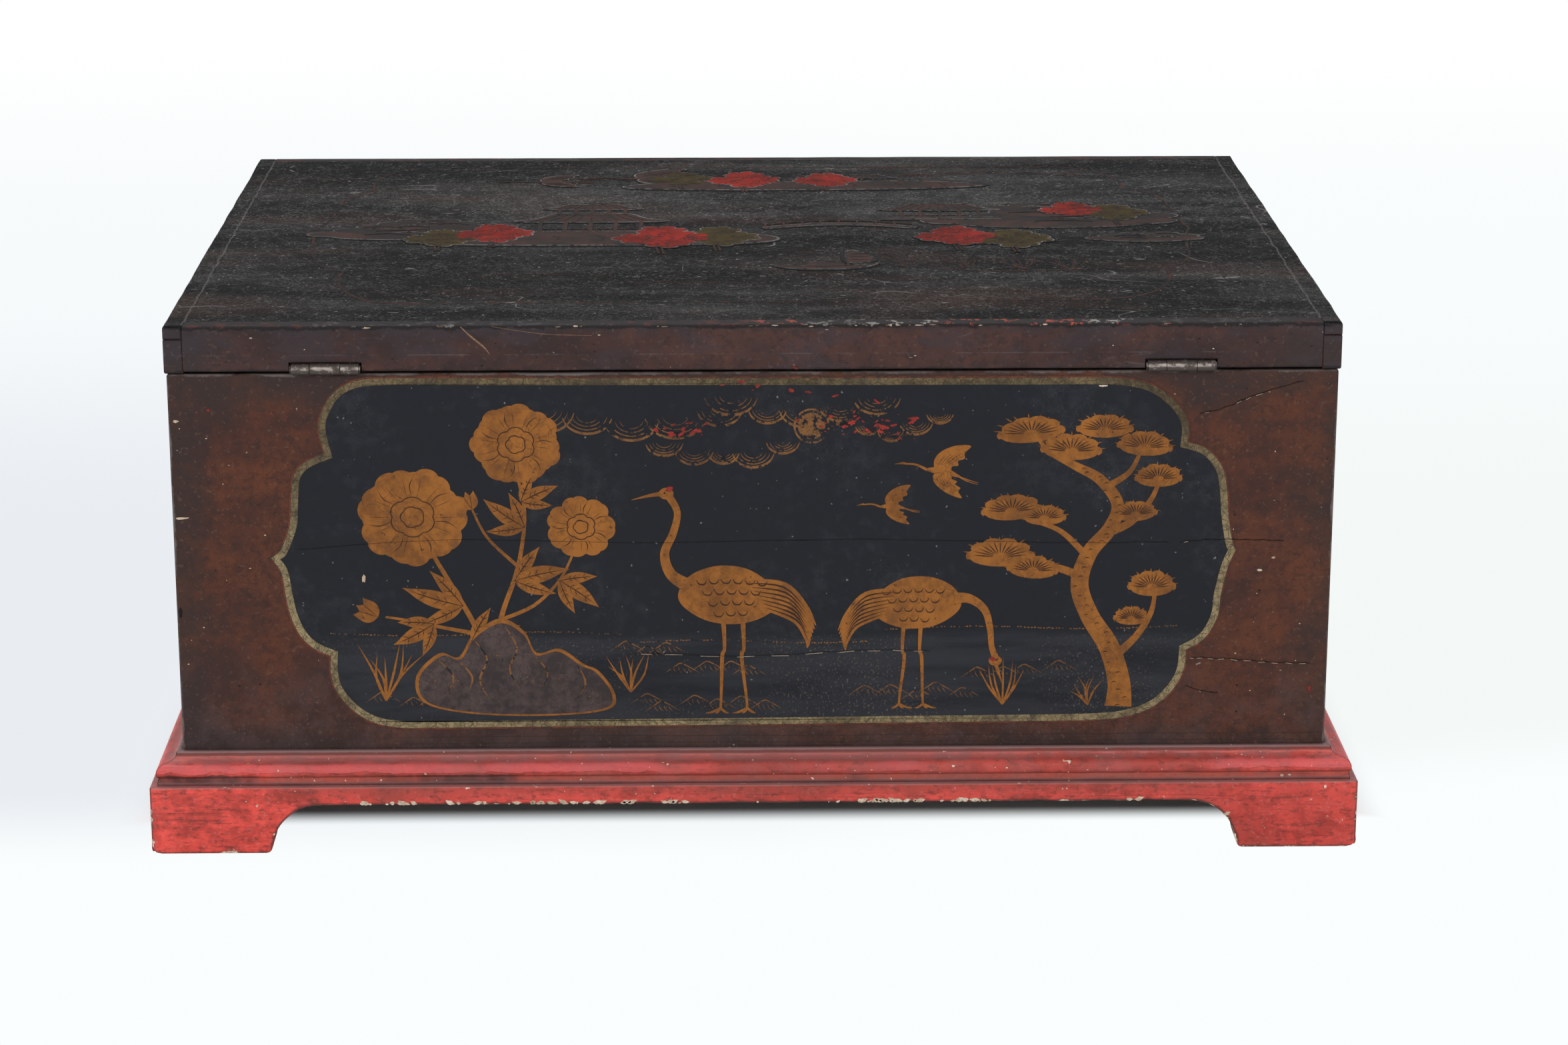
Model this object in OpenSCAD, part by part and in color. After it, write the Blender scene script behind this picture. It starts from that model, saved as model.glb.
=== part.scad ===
// Deed box: a lacquered case with a hinged lid, on a moulded plinth with bracket feet.
// Millimetres. The origin is on the floor under the middle of the plinth, and +Z is up.
// The hinges are on the back, which faces -Y, and the lock is on the front, which faces +Y.

/* [Case] */
// Width of the case from side to side
case_w = 610; // [480:5:760]
// Depth of the case from back to front
case_d = 457; // [340:1:600]
// Height of the case above the base moulding
case_h = 206; // [150:1:300]
// Thickness of the four case boards
board_t = 13; // [12.6:0.2:16]
// Thickness of the bottom board
bottom_t = 10; // [7:0.5:14]
// How far the edge of the bottom board goes into the case boards
bottom_lap = 6; // [3:0.5:8]
// Width of a dovetail at its root
tail_w = 20; // [14:1:24]
// Wanted spacing of the dovetails up a corner
tail_pitch = 37; // [34:1:55]
// How far a dovetail widens on each side towards its end
tail_flare = 2.5; // [1:0.5:4]

/* [Lid] */
// Height of the lid from the rim of the case to its top
lid_h = 26.3; // [23:0.1:40]
// Thickness of the lid's back and front rails
rail_t = 10; // [9.6:0.1:12]
// Thickness of the lid's side rails, and width of the end cleats above them
side_rail_t = 10; // [8:0.5:14]
// Thickness of the lid board and its cleats
lid_board_t = 8; // [6:0.5:10]
// How far the lid board laps onto the back and front rails
lid_lap = 5; // [3:0.5:7]
// Thickness of the tongue on each end of the lid board
tongue_t = 3; // [2:0.5:4]
// Length of that tongue
tongue_l = 4; // [2:0.5:6]
// How far the lid stands out past the sides and the front of the case
lid_over = 1.2; // [0:0.1:2]
// Gap between the rim and the side and front rails
seat_gap = 0.3; // [0.2:0.1:0.6]
// Gap between the rim and the back rail, which is cut shorter
back_gap = 1.3; // [0.8:0.1:2]
// Height of the scribed line below the top of the lid
scribe_down = 16.3; // [12:0.1:19]

/* [Plinth] */
// How far the base boards stand out from the case
plinth_out = 17.5; // [15:0.5:26]
// Height of the base boards with their bracket feet
base_h = 37; // [34:1:60]
// Thickness of the base boards
base_t = 20; // [19:0.5:28]
// Width of a bracket foot where it meets the floor
foot_w = 64; // [50:1:100]
// Height of the straight inner edge of a foot
foot_edge_h = 11; // [6:0.5:14]
// How far that edge leans out over its height
foot_lean = 2.4; // [0:0.2:6]
// Height of the arch between the feet
arch_h = 27; // [22:0.5:31]
// Radius of the round corner of the arch
arch_r = 26; // [20:1:40]
// Radius of the plinth's worn outer corners
plinth_corner_r = 2.5; // [1:0.5:5]
// Height of the base moulding
moulding_h = 16; // [14:0.5:24]
// How far the moulding stands out from the case
moulding_out = 13.2; // [11.5:0.1:14.8]
// Radius of the round bead of the moulding
bead_r = 4.2; // [3:0.1:5]
// Depth of the flat step on top of the moulding
step_out = 3.4; // [2:0.1:4]
// Side of the glue block behind each foot
block_w = 34; // [24:1:44]
// How far the glue blocks stay off the floor
block_lift = 1; // [0.5:0.5:4]

/* [Hinges] */
// Distance of the middle of each hinge from the side of the case
hinge_in = 82.5; // [50:0.5:150]
// Length of a hinge
hinge_l = 35; // [30:1:50]
// Outer radius of the knuckles
knuckle_r = 2.8; // [2.4:0.1:3.4]
// Radius of the hinge pin
pin_r = 1.25; // [1:0.05:1.5]
// Thickness of a leaf
leaf_t = 1.2; // [1:0.1:1.4]
// How far a leaf reaches in from the back of the case
leaf_reach = 8.5; // [7.9:0.1:8.8]
// Length of the middle knuckle, which is on the lid
mid_knuckle_l = 15.6; // [12:0.2:18]
// How far the pin stands out behind the case
pin_back = 1; // [0.6:0.1:1.6]
// Distance of the leaf screws from the middle of a hinge
leaf_screw_x = 11; // [8:0.5:12]

/* [Lock] */
// Half the width of the inside of the lock case
lock_in = 24; // [24:0.5:30]
// Height of the inside of the lock case
lock_in_h = 29.5; // [29:0.5:36]
// Distance of the two link staples from the middle
staple_x = 12; // [11.5:0.1:12.4]
// Travel of the bolt
bolt_throw = 6; // [5:0.1:6]
// Depth of the keyhole's centre below the rim
keyhole_down = 23; // [22.5:0.1:24]
// Radius of the round part of the keyhole
keyhole_r = 3.2; // [2.6:0.1:3.4]
// Width of the slot of the keyhole
key_slot_w = 2.6; // [1.6:0.1:3]

/* [Hidden] */
$fn = 48;
e = 0.01;
fit = 0.3;
running_fit = 0.05;

board_h = moulding_h + case_h;
rim_z = base_h + board_h;
lid_top = rim_z + lid_h;
lid_w = case_w + 2 * lid_over;
back_y = -case_d / 2;
front_y = case_d / 2;
lid_front_y = front_y + lid_over;
lid_under = lid_top - lid_board_t;
lid_in_w = lid_w - 2 * side_rail_t;
scribe_w = 0.5;
scribe_t = 0.4;

tails = floor(board_h / tail_pitch);
tail_step = board_h / tails;

// Hinge leaf: the folded hinge is one knuckle high, and all of it is let into the lid.
hinge_x = case_w / 2 - hinge_in;
pin_y = back_y - pin_back;
pin_z = rim_z + knuckle_r;
leaf_y0 = pin_y + knuckle_r + fit;
leaf_y1 = back_y + leaf_reach;
knuckle_gap = 0.3;
end_knuckle_l = (hinge_l - mid_knuckle_l) / 2 - knuckle_gap;
pin_head_r = 2.1;
pin_head_t = 0.8;
leaf_screw_r = 1.1;
leaf_screw_head_r = 2.1;
leaf_screw_l = 9;
leaf_screw_y = (leaf_y0 + leaf_y1) / 2;

// Lock: the case is let into the front board from inside, below a selvedge on the rim.
plate_t = 1.5;
case_wall = 1.2;
cap_t = 1;
plate_side = 8;
plate_drop = 5.8;
selvedge_side = 12;
selvedge_back = 1;
inner_y = front_y - board_t;
staple_w = 4.6;
staple_t = 1.6;
staple_leg = 1.1;
staple_drop = 8;
staple_y = lid_front_y - rail_t + staple_w / 2 + 0.2;
link_y0 = staple_y - staple_w / 2;
link_y1 = link_y0 + 7.6;
link_half = 24;
link_screw_x = 19;
link_screw_y = (link_y0 + link_y1) / 2;
cavity_y0 = inner_y + plate_t;
cavity_y1 = staple_y + staple_w / 2 + 0.4;
lock_half = lock_in + case_wall;
lock_deep = plate_t + lock_in_h + case_wall;
guide_gap = 6.4;
finger_t = 1.5;
finger_h = 2.6;
eye_gap = 0.7;
arm_w = 3;
bolt_top = 11;
bolt_h = 6;
bar_l = 36;
talon_w = 6;
talon_h = 3;
finger_z = 5;
finger_tip = -staple_t / 2 - 0.6;
finger_root = finger_tip - bolt_throw - arm_w;
spring_t = 0.5;
spring_r = staple_x + (finger_root - finger_tip - bolt_throw) / 2 - 0.7;
spring_x = (finger_root + finger_tip + bolt_throw) / 2;
screw_r = 1.4;
screw_head_r = 2.8;
lock_screw_l = 9;
guide_z = rim_z - bolt_top - bolt_h - fit;
keyhole_z = rim_z - keyhole_down;
key_slot_l = 7;
plaque_t = 0.8;
plaque_r = 8.5;
plaque_tail_r = 5.5;
plaque_tail = 12;

lacquer = "#40241c";
black_lacquer = "#1c1b1c";
red_lacquer = "#a52a26";
bare_wood = "#6e4a30";
iron = "#4a423c";
brass = "#b08d4a";

// Box from one corner to the opposite one
module block(from, to) {
    translate(from) cube([for (i = [0:2]) to[i] - from[i]]);
}

// Points of an arc, from one angle to another
function arc(c, r, a0, a1, n = 10) =
    [for (i = [0:n]) let (a = a0 + (a1 - a0) * i / n) c + r * [cos(a), sin(a)]];

// Extrudes an outline drawn in Y and Z along X
module along_x(x0, x1) {
    translate([x0, 0, 0]) rotate([90, 0, 90]) linear_extrude(x1 - x0) children();
}

// Extrudes an outline drawn in X and Z along Y
module along_y(y0, y1) {
    translate([0, y1, 0]) rotate([90, 0, 0]) linear_extrude(y1 - y0) children();
}

// Slotted countersunk screw, head up at the origin and shank downwards
module screw(shank_r, head_r, length) {
    difference() {
        union() {
            translate([0, 0, -length]) cylinder(r = shank_r, h = length);
            translate([0, 0, shank_r - head_r])
                cylinder(r1 = shank_r, r2 = head_r, h = head_r - shank_r);
        }
        translate([-head_r, -head_r / 8, -head_r / 5])
            cube([2 * head_r, head_r / 4, head_r]);
    }
}

// Room for such a screw: its countersink and its pilot hole
module screw_hole(shank_r, head_r, length) {
    translate([0, 0, -length - fit]) cylinder(r = shank_r + running_fit, h = length + fit + e);
    translate([0, 0, shank_r - head_r])
        cylinder(r1 = shank_r + running_fit, r2 = head_r + running_fit, h = head_r - shank_r);
}

// Case

// Dovetails of a side board at both of its ends, as an outline in Y and Z
module tail_outline() {
    for (end = [-1, 1], i = [0:tails - 1]) {
        z = base_h + (i + 0.5) * tail_step;
        root = end * (case_d / 2 - board_t - 1);
        tip = end * case_d / 2;
        low_half = tail_w / 2 + (end < 0 ? tail_flare : 0);
        high_half = tail_w / 2 + (end < 0 ? 0 : tail_flare);
        y0 = min(root, tip);
        y1 = max(root, tip);
        polygon([[y0, z - low_half], [y1, z - high_half], [y1, z + high_half], [y0, z + low_half]]);
    }
}

module bottom_shape() {
    lap = board_t - bottom_lap;
    block([-case_w / 2 + lap, back_y + lap, base_h], [case_w / 2 - lap, front_y - lap, base_h + bottom_t]);
}

// Side board on the left (-1) or on the right (1)
module side_board(side) {
    outer = side * case_w / 2;
    inner = side * (case_w / 2 - board_t);
    color(lacquer) difference() {
        along_x(min(outer, inner), max(outer, inner)) union() {
            translate([board_t - case_d / 2, base_h]) square([case_d - 2 * board_t, board_h]);
            tail_outline();
        }
        bottom_shape();
    }
}

// Board with the pins of the corner joints, at the back (-1) or the front (1)
module pin_board(end) {
    outer = end * case_d / 2;
    inner = end * (case_d / 2 - board_t);
    difference() {
        block([-case_w / 2, min(outer, inner), base_h], [case_w / 2, max(outer, inner), rim_z]);
        for (side = [-1, 1]) {
            outside = side * (case_w / 2 + e);
            root = side * (case_w / 2 - board_t);
            along_x(min(outside, root), max(outside, root)) tail_outline();
        }
        bottom_shape();
    }
}

// Room for knuckles in the edge of the back board or of the lid's back rail, from height z
module knuckle_room(side, z, half) {
    block([side * hinge_x - half, back_y - e, z], [side * hinge_x + half, leaf_y0, z + 2 * knuckle_r + fit]);
}

module back_board() {
    color(lacquer) difference() {
        pin_board(-1);
        for (side = [-1, 1]) knuckle_room(side, rim_z - fit, mid_knuckle_l / 2 + fit);
        for (side = [-1, 1], x = [-1, 1])
            translate([side * hinge_x + x * leaf_screw_x, leaf_screw_y, rim_z + leaf_t])
                screw_hole(leaf_screw_r, leaf_screw_head_r, leaf_screw_l);
    }
}

module front_board() {
    color(lacquer) difference() {
        pin_board(1);
        block([-lock_half - plate_side, inner_y - e, rim_z - lock_deep - plate_drop],
            [lock_half + plate_side, cavity_y0, rim_z + e]);
        block([-lock_half, inner_y - e, rim_z - lock_deep], [lock_half, cavity_y1 + cap_t, rim_z + e]);
        block([-lock_half - selvedge_side, inner_y - e, rim_z - plate_t],
            [lock_half + selvedge_side, cavity_y1 + selvedge_back, rim_z + e]);
        key_opening(cavity_y1, front_y + e);
        lock_screw_places() screw_hole(screw_r, screw_head_r, lock_screw_l);
        escutcheon_pin_places() cylinder(r = 0.6 + running_fit, h = 2.2);
    }
}

module bottom_board() {
    color(bare_wood) bottom_shape();
}

// Plinth

// Turns a piece of the back into the same piece of the right (1), front (2) or left (3)
module at_side(side) {
    rotate([0, 0, 90 * side]) children();
}
function run_of(side) = side % 2 == 0 ? case_w : case_d;
function reach_of(side) = (side % 2 == 0 ? case_d : case_w) / 2;

// Plan of a mitred strip round the case, between two distances from its faces
module strip_plan(side, near, far) {
    half = run_of(side) / 2;
    y = -reach_of(side);
    a = half + far;
    b = half + near;
    polygon([[-a, y - far], [a, y - far], [b, y - near], [-b, y - near]]);
}

module plinth_plan(side) {
    half = run_of(side) / 2 + plinth_out;
    deep = reach_of(side) + plinth_out;
    r = plinth_corner_r;
    square([2 * half - 2 * r, 2 * deep], center = true);
    square([2 * half, 2 * deep - 2 * r], center = true);
    for (x = [-1, 1], y = [-1, 1]) translate([x * (half - r), y * (deep - r)]) circle(r);
}

// Opening between the bracket feet, as an outline in X and Z
module arch_outline(side) {
    foot = run_of(side) / 2 + plinth_out - foot_w;
    lean = foot - foot_lean;
    rise = arch_h - foot_edge_h;
    sweep = acos((arch_r - rise) / arch_r);
    c = [lean - arch_r * sin(sweep), arch_h - arch_r];
    right = concat([[foot, -1], [foot, 0]], arc(c, arch_r, 90 - sweep, 90));
    left = [for (i = [len(right) - 1:-1:0]) [-right[i][0], right[i][1]]];
    polygon(concat(right, left));
}

module base_board(side) {
    y = -reach_of(side) - plinth_out;
    color(red_lacquer) at_side(side) difference() {
        linear_extrude(base_h) intersection() {
            strip_plan(side, plinth_out - base_t, plinth_out);
            plinth_plan(side);
        }
        along_y(y - 1, y + base_t + 1) arch_outline(side);
    }
}

// Section of the base moulding: distance from the case, and height above the base board
function moulding_section() =
    let (
        bead = [moulding_out - bead_r, 2.8 + bead_r],
        crown = bead + [0, bead_r],
        step_h = moulding_h - 1.1,
        foot = moulding_out - 1.4
    )
    concat(
        [[0, 0], [foot, 0], [foot, 1.6], [foot - 1.2, 2.4]],
        arc(bead, bead_r, -55, 90, 12),
        [for (i = [1:8]) let (a = 90 * i / 8)
            [crown[0] - (crown[0] - step_out) * sin(a), crown[1] + (step_h - crown[1]) * (1 - cos(a))]],
        [[step_out, moulding_h], [0, moulding_h]]
    );

module moulding(side) {
    half = run_of(side) / 2 + plinth_out;
    color(red_lacquer) at_side(side) intersection() {
        translate([0, -reach_of(side), base_h]) mirror([0, 1, 0])
            along_x(-half, half) polygon(moulding_section());
        linear_extrude(base_h + moulding_h) strip_plan(side, 0, plinth_out);
    }
}

// Glue block in one corner behind the feet, with its inner corner cut off
module foot_block(x, y) {
    in_x = case_w / 2 + plinth_out - base_t;
    in_y = case_d / 2 + plinth_out - base_t;
    w = block_w;
    cut = w - w / 3;
    color(bare_wood) scale([x, y, 1]) translate([in_x, in_y, block_lift])
        linear_extrude(base_h - block_lift)
            polygon([[0, 0], [-w, 0], [-w, -cut], [-cut, -w], [0, -w]]);
}

// Lid

module lid_board() {
    half = lid_in_w / 2;
    y0 = back_y + rail_t - lid_lap;
    y1 = lid_front_y - rail_t + lid_lap;
    mid = lid_top - lid_board_t / 2;
    color(black_lacquer) union() {
        block([-half, y0, lid_under], [half, y1, lid_top]);
        block([-half - tongue_l, y0, mid - tongue_t / 2], [half + tongue_l, y1, mid + tongue_t / 2]);
    }
}

module lid_cleat(side) {
    half = lid_in_w / 2;
    mid = lid_top - lid_board_t / 2;
    y0 = back_y + rail_t - lid_lap;
    y1 = lid_front_y - rail_t + lid_lap;
    color(black_lacquer) mirror([side < 0 ? 1 : 0, 0, 0]) difference() {
        block([half, back_y, lid_under], [lid_w / 2, lid_front_y, lid_top]);
        block([half - e, y0, mid - tongue_t / 2], [half + tongue_l, y1, mid + tongue_t / 2]);
    }
}

module lid_side_rail(side) {
    color(lacquer) mirror([side < 0 ? 1 : 0, 0, 0])
        block([lid_in_w / 2, back_y, rim_z + seat_gap], [lid_w / 2, lid_front_y, lid_under]);
}

// Groove of the scribed line on an outer face at y
module scribe(y) {
    z = lid_top - scribe_down;
    half = lid_in_w / 2 + e;
    block([-half, y - scribe_t, z - scribe_w / 2], [half, y + scribe_t, z + scribe_w / 2]);
}

module lid_rail_back() {
    half = lid_in_w / 2;
    room = hinge_l / 2 + pin_head_t + fit;
    color(lacquer) difference() {
        block([-half, back_y, rim_z + back_gap], [half, back_y + rail_t, lid_top]);
        block([-half - e, back_y + rail_t - lid_lap, lid_under],
            [half + e, back_y + rail_t + e, lid_top + e]);
        scribe(back_y);
        for (side = [-1, 1]) {
            block([side * hinge_x - room, back_y - e, rim_z],
                [side * hinge_x + room, leaf_y1 + fit, rim_z + 2 * knuckle_r]);
            knuckle_room(side, rim_z, room);
            for (x = [-1, 1])
                translate([side * hinge_x + x * leaf_screw_x, leaf_screw_y, rim_z + 2 * knuckle_r - leaf_t])
                    rotate([180, 0, 0]) screw_hole(leaf_screw_r, leaf_screw_head_r, leaf_screw_l);
        }
    }
}

module lid_rail_front() {
    half = lid_in_w / 2;
    seat = rim_z + seat_gap;
    color(lacquer) difference() {
        block([-half, lid_front_y - rail_t, seat], [half, lid_front_y, lid_top]);
        block([-half - e, lid_front_y - rail_t - e, lid_under],
            [half + e, lid_front_y - rail_t + lid_lap, lid_top + e]);
        scribe(lid_front_y);
        block([-link_half, link_y0, seat - e], [link_half, link_y1, seat + plate_t]);
        link_screw_places() screw_hole(screw_r, screw_head_r, lock_screw_l);
    }
}

// Hinges

module knuckle(x0, x1) {
    difference() {
        translate([x0, 0, 0]) rotate([0, 90, 0]) cylinder(r = knuckle_r, h = x1 - x0);
        translate([x0 - e, 0, 0]) rotate([0, 90, 0]) cylinder(r = pin_r + running_fit, h = x1 - x0 + 2 * e);
    }
}

// Plate and tabs of a leaf whose outer face is on the pin's tangent plane, below the pin
module leaf_plate(spans) {
    bottom = -knuckle_r;
    difference() {
        union() {
            block([-hinge_l / 2, leaf_y0 - pin_y, bottom], [hinge_l / 2, leaf_y1 - pin_y, bottom + leaf_t]);
            for (s = spans) block([s[0], 0, bottom], [s[1], leaf_y0 - pin_y + e, bottom + leaf_t]);
        }
        for (s = spans) translate([s[0] - e, 0, 0]) rotate([0, 90, 0])
            cylinder(r = pin_r + running_fit, h = s[1] - s[0] + 2 * e);
        for (x = [-1, 1])
            translate([x * leaf_screw_x, leaf_screw_y - pin_y, bottom + leaf_t])
                screw_hole(leaf_screw_r, leaf_screw_head_r, leaf_screw_l);
    }
}

module hinge_case_leaf(side) {
    half = hinge_l / 2;
    spans = [[-half, -half + end_knuckle_l], [half - end_knuckle_l, half]];
    color(iron) translate([side * hinge_x, pin_y, pin_z]) union() {
        leaf_plate(spans);
        for (s = spans) knuckle(s[0], s[1]);
    }
}

module hinge_lid_leaf(side) {
    half = mid_knuckle_l / 2;
    color(iron) translate([side * hinge_x, pin_y, pin_z]) union() {
        mirror([0, 0, 1]) leaf_plate([[-half, half]]);
        knuckle(-half, half);
    }
}

module hinge_pin(side) {
    half = hinge_l / 2;
    color(iron) translate([side * hinge_x, pin_y, pin_z]) rotate([0, 90, 0]) union() {
        translate([0, 0, -half - pin_head_t]) cylinder(r = pin_r, h = hinge_l + 2 * pin_head_t);
        for (z = [-half - pin_head_t, half]) translate([0, 0, z]) cylinder(r = pin_head_r, h = pin_head_t);
    }
}

module hinge_screws(lid) {
    z = lid ? rim_z + 2 * knuckle_r - leaf_t : rim_z + leaf_t;
    color(iron) for (side = [-1, 1], x = [-1, 1])
        translate([side * hinge_x + x * leaf_screw_x, leaf_screw_y, z])
            rotate([lid ? 180 : 0, 0, 0]) screw(leaf_screw_r, leaf_screw_head_r, leaf_screw_l);
}

// Lock

// Keyhole: a round hole with a slot below it
module key_opening(y0, y1) {
    translate([0, y1, keyhole_z]) rotate([90, 0, 0]) cylinder(r = keyhole_r, h = y1 - y0);
    along_y(y0, y1) translate([-key_slot_w / 2, keyhole_z - key_slot_l]) square([key_slot_w, key_slot_l]);
}

// The four screws of the lock plate, then the two of the selvedge
module lock_screw_places() {
    x = lock_half + plate_side / 2;
    for (side = [-1, 1], down = [lock_deep / 3, lock_deep])
        translate([side * x, inner_y, rim_z - down]) rotate([90, 0, 0]) children();
    for (side = [-1, 1])
        translate([side * (lock_half + selvedge_side / 2 + 2), inner_y + board_t / 2, rim_z]) children();
}

module link_screw_places() {
    for (side = [-1, 1])
        translate([side * link_screw_x, link_screw_y, rim_z + seat_gap]) rotate([180, 0, 0]) children();
}

module staple_slots(extra) {
    half_t = staple_t / 2 + 0.6;
    for (side = [-1, 1])
        block([side * staple_x - half_t, staple_y - staple_w / 2 - 0.4, rim_z - plate_t - extra],
            [side * staple_x + half_t, staple_y + staple_w / 2 + 0.4, rim_z + extra]);
}

module lock_case() {
    under = rim_z - plate_t;
    floor_z = rim_z - lock_deep;
    color(brass) difference() {
        union() {
            block([-lock_half - plate_side, inner_y, floor_z - plate_drop],
                [lock_half + plate_side, cavity_y0, rim_z]);
            block([-lock_half - selvedge_side, inner_y, under],
                [lock_half + selvedge_side, cavity_y1 + selvedge_back, rim_z]);
            block([-lock_half, cavity_y0 - e, floor_z], [lock_half, cavity_y1, floor_z + case_wall]);
            for (x = [-lock_half, lock_in])
                block([x, cavity_y0 - e, floor_z], [x + case_wall, cavity_y1, under + e]);
            for (x = [-lock_in - e, guide_gap])
                block([x, cavity_y0 - e, guide_z - 2], [x + lock_in - guide_gap + e, cavity_y1, guide_z]);
        }
        staple_slots(e);
        lock_screw_places() screw_hole(screw_r, screw_head_r, lock_screw_l);
    }
}

module lock_cap() {
    color(brass) difference() {
        block([-lock_half, cavity_y1, rim_z - lock_deep], [lock_half, cavity_y1 + cap_t, rim_z - plate_t]);
        key_opening(cavity_y1 - e, cavity_y1 + cap_t + e);
    }
}

// Bolt with two fingers, which slide through the link staples to lock the lid
module lock_bolt() {
    bar_z = rim_z - bolt_top;
    bar_x = finger_root - staple_x;
    low = rim_z - finger_z - finger_h / 2;
    high = rim_z - finger_z + finger_h / 2;
    y0 = staple_y - finger_t / 2;
    y1 = staple_y + finger_t / 2;
    color(iron) union() {
        for (x = [-staple_x, staple_x]) {
            block([x + finger_root, y0, bar_z - e], [x + finger_root + arm_w, y1, high]);
            block([x + finger_root, y0, low], [x + finger_tip, y1, high]);
        }
        difference() {
            block([bar_x, cavity_y0 + fit, bar_z - bolt_h], [bar_x + bar_l, cavity_y1 - fit, bar_z]);
            block([-talon_w / 2, cavity_y0, bar_z - bolt_h - e],
                [talon_w / 2, cavity_y1, bar_z - bolt_h + talon_h]);
        }
    }
}

// U-shaped leaf under the selvedge, which bears on the bolt
module lock_spring() {
    top = rim_z - plate_t;
    mid = rim_z - bolt_top + fit + spring_r;
    color(iron) translate([spring_x, 0, 0]) along_y(staple_y - 2, staple_y + 2) union() {
        difference() {
            translate([0, mid]) circle(spring_r);
            translate([0, mid]) circle(spring_r - spring_t);
            translate([-spring_r - 1, mid]) square([2 * spring_r + 2, spring_r + 1]);
        }
        for (x = [-spring_r, spring_r - spring_t])
            translate([x, mid - e]) square([spring_t, top - mid + e]);
    }
}

module lock_screws() {
    color(brass) lock_screw_places() screw(screw_r, screw_head_r, lock_screw_l);
}

module escutcheon_pin_places() {
    for (z = [plaque_r - 2.2, -plaque_tail - plaque_tail_r + 2.2])
        translate([0, front_y, keyhole_z + z]) rotate([90, 0, 0]) children();
}

module escutcheon() {
    top = 0.8 * plaque_r;
    low = 0.8 * plaque_tail_r;
    color(brass) difference() {
        along_y(front_y, front_y + plaque_t) translate([0, keyhole_z]) union() {
            circle(plaque_r);
            translate([0, -plaque_tail]) circle(plaque_tail_r);
            polygon([[-top, 0], [-low, -plaque_tail], [low, -plaque_tail], [top, 0]]);
        }
        key_opening(front_y - e, front_y + plaque_t + e);
        escutcheon_pin_places() translate([0, 0, -plaque_t - e])
            cylinder(r = 0.6 + running_fit, h = plaque_t + 2 * e);
    }
}

module escutcheon_pins() {
    color(brass) escutcheon_pin_places() union() {
        translate([0, 0, -plaque_t]) cylinder(r = 0.6, h = plaque_t + 2);
        translate([0, 0, -plaque_t - 0.5]) cylinder(r1 = 0.7, r2 = 1.1, h = 0.5);
    }
}

module link_plate() {
    seat = rim_z + seat_gap;
    color(brass) difference() {
        block([-link_half, link_y0, seat], [link_half, link_y1, seat + plate_t]);
        for (x = [-staple_x, staple_x])
            block([x - staple_t / 2, link_y0 - e, seat - e],
                [x + staple_t / 2, link_y0 + staple_w, seat + plate_t + e]);
        link_screw_places() screw_hole(screw_r, screw_head_r, lock_screw_l);
    }
}

// Staple riveted through the link plate, with an eye for a finger of the bolt
module link_staple(side) {
    seat = rim_z + seat_gap;
    x = side * staple_x;
    eye_z = rim_z - finger_z;
    eye_half = finger_h / 2 + eye_gap;
    color(brass) difference() {
        block([x - staple_t / 2, link_y0, rim_z - staple_drop],
            [x + staple_t / 2, link_y0 + staple_w, seat + plate_t]);
        block([x - staple_t, link_y0 + staple_leg, eye_z - eye_half],
            [x + staple_t, link_y0 + staple_w - staple_leg, eye_z + eye_half]);
    }
}

module link_plate_screws() {
    color(brass) link_screw_places() screw(screw_r, screw_head_r, lock_screw_l);
}

back_board();
front_board();
side_board(-1);  // left_board
side_board(1);  // right_board
bottom_board();
base_board(0);  // base_board_back
base_board(1);  // base_board_right
base_board(2);  // base_board_front
base_board(3);  // base_board_left
moulding(0);  // moulding_back
moulding(1);  // moulding_right
moulding(2);  // moulding_front
moulding(3);  // moulding_left
foot_block(-1, -1);  // foot_block_back_left
foot_block(1, -1);  // foot_block_back_right
foot_block(1, 1);  // foot_block_front_right
foot_block(-1, 1);  // foot_block_front_left
hinge_case_leaf(-1);  // hinge_left_case_leaf
hinge_case_leaf(1);  // hinge_right_case_leaf
hinge_pin(-1);  // hinge_left_pin
hinge_pin(1);  // hinge_right_pin
hinge_screws(false);  // hinge_case_screws
lock_case();
lock_cap();
lock_spring();
lock_bolt();
lock_screws();
escutcheon();
escutcheon_pins();
lid_board();
lid_cleat(-1);  // lid_cleat_left
lid_cleat(1);  // lid_cleat_right
lid_rail_back();
lid_rail_front();
lid_side_rail(-1);  // lid_rail_left
lid_side_rail(1);  // lid_rail_right
hinge_lid_leaf(-1);  // hinge_left_lid_leaf
hinge_lid_leaf(1);  // hinge_right_lid_leaf
hinge_screws(true);  // hinge_lid_screws
link_plate();
link_staple(-1);  // link_staple_left
link_staple(1);  // link_staple_right
link_plate_screws();
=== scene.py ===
# %% [markdown]
# # A lacquered deed box
# The box stands with its back towards us: two small hinges, a painted panel in a lobed frame, a
# black lid with worn raised work, and a red plinth on bracket feet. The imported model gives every
# size, so this lesson only has to make the boards look old and hand made. All lengths are metres.
# The back faces -Y, and the floor is z = 0.

# %% Load the frame
import random
from math import acos, cos, hypot, pi, radians, sin, sqrt

import bmesh
import bpy
from mathutils import Matrix, Vector, noise
from mathutils.geometry import tessellate_polygon


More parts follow.
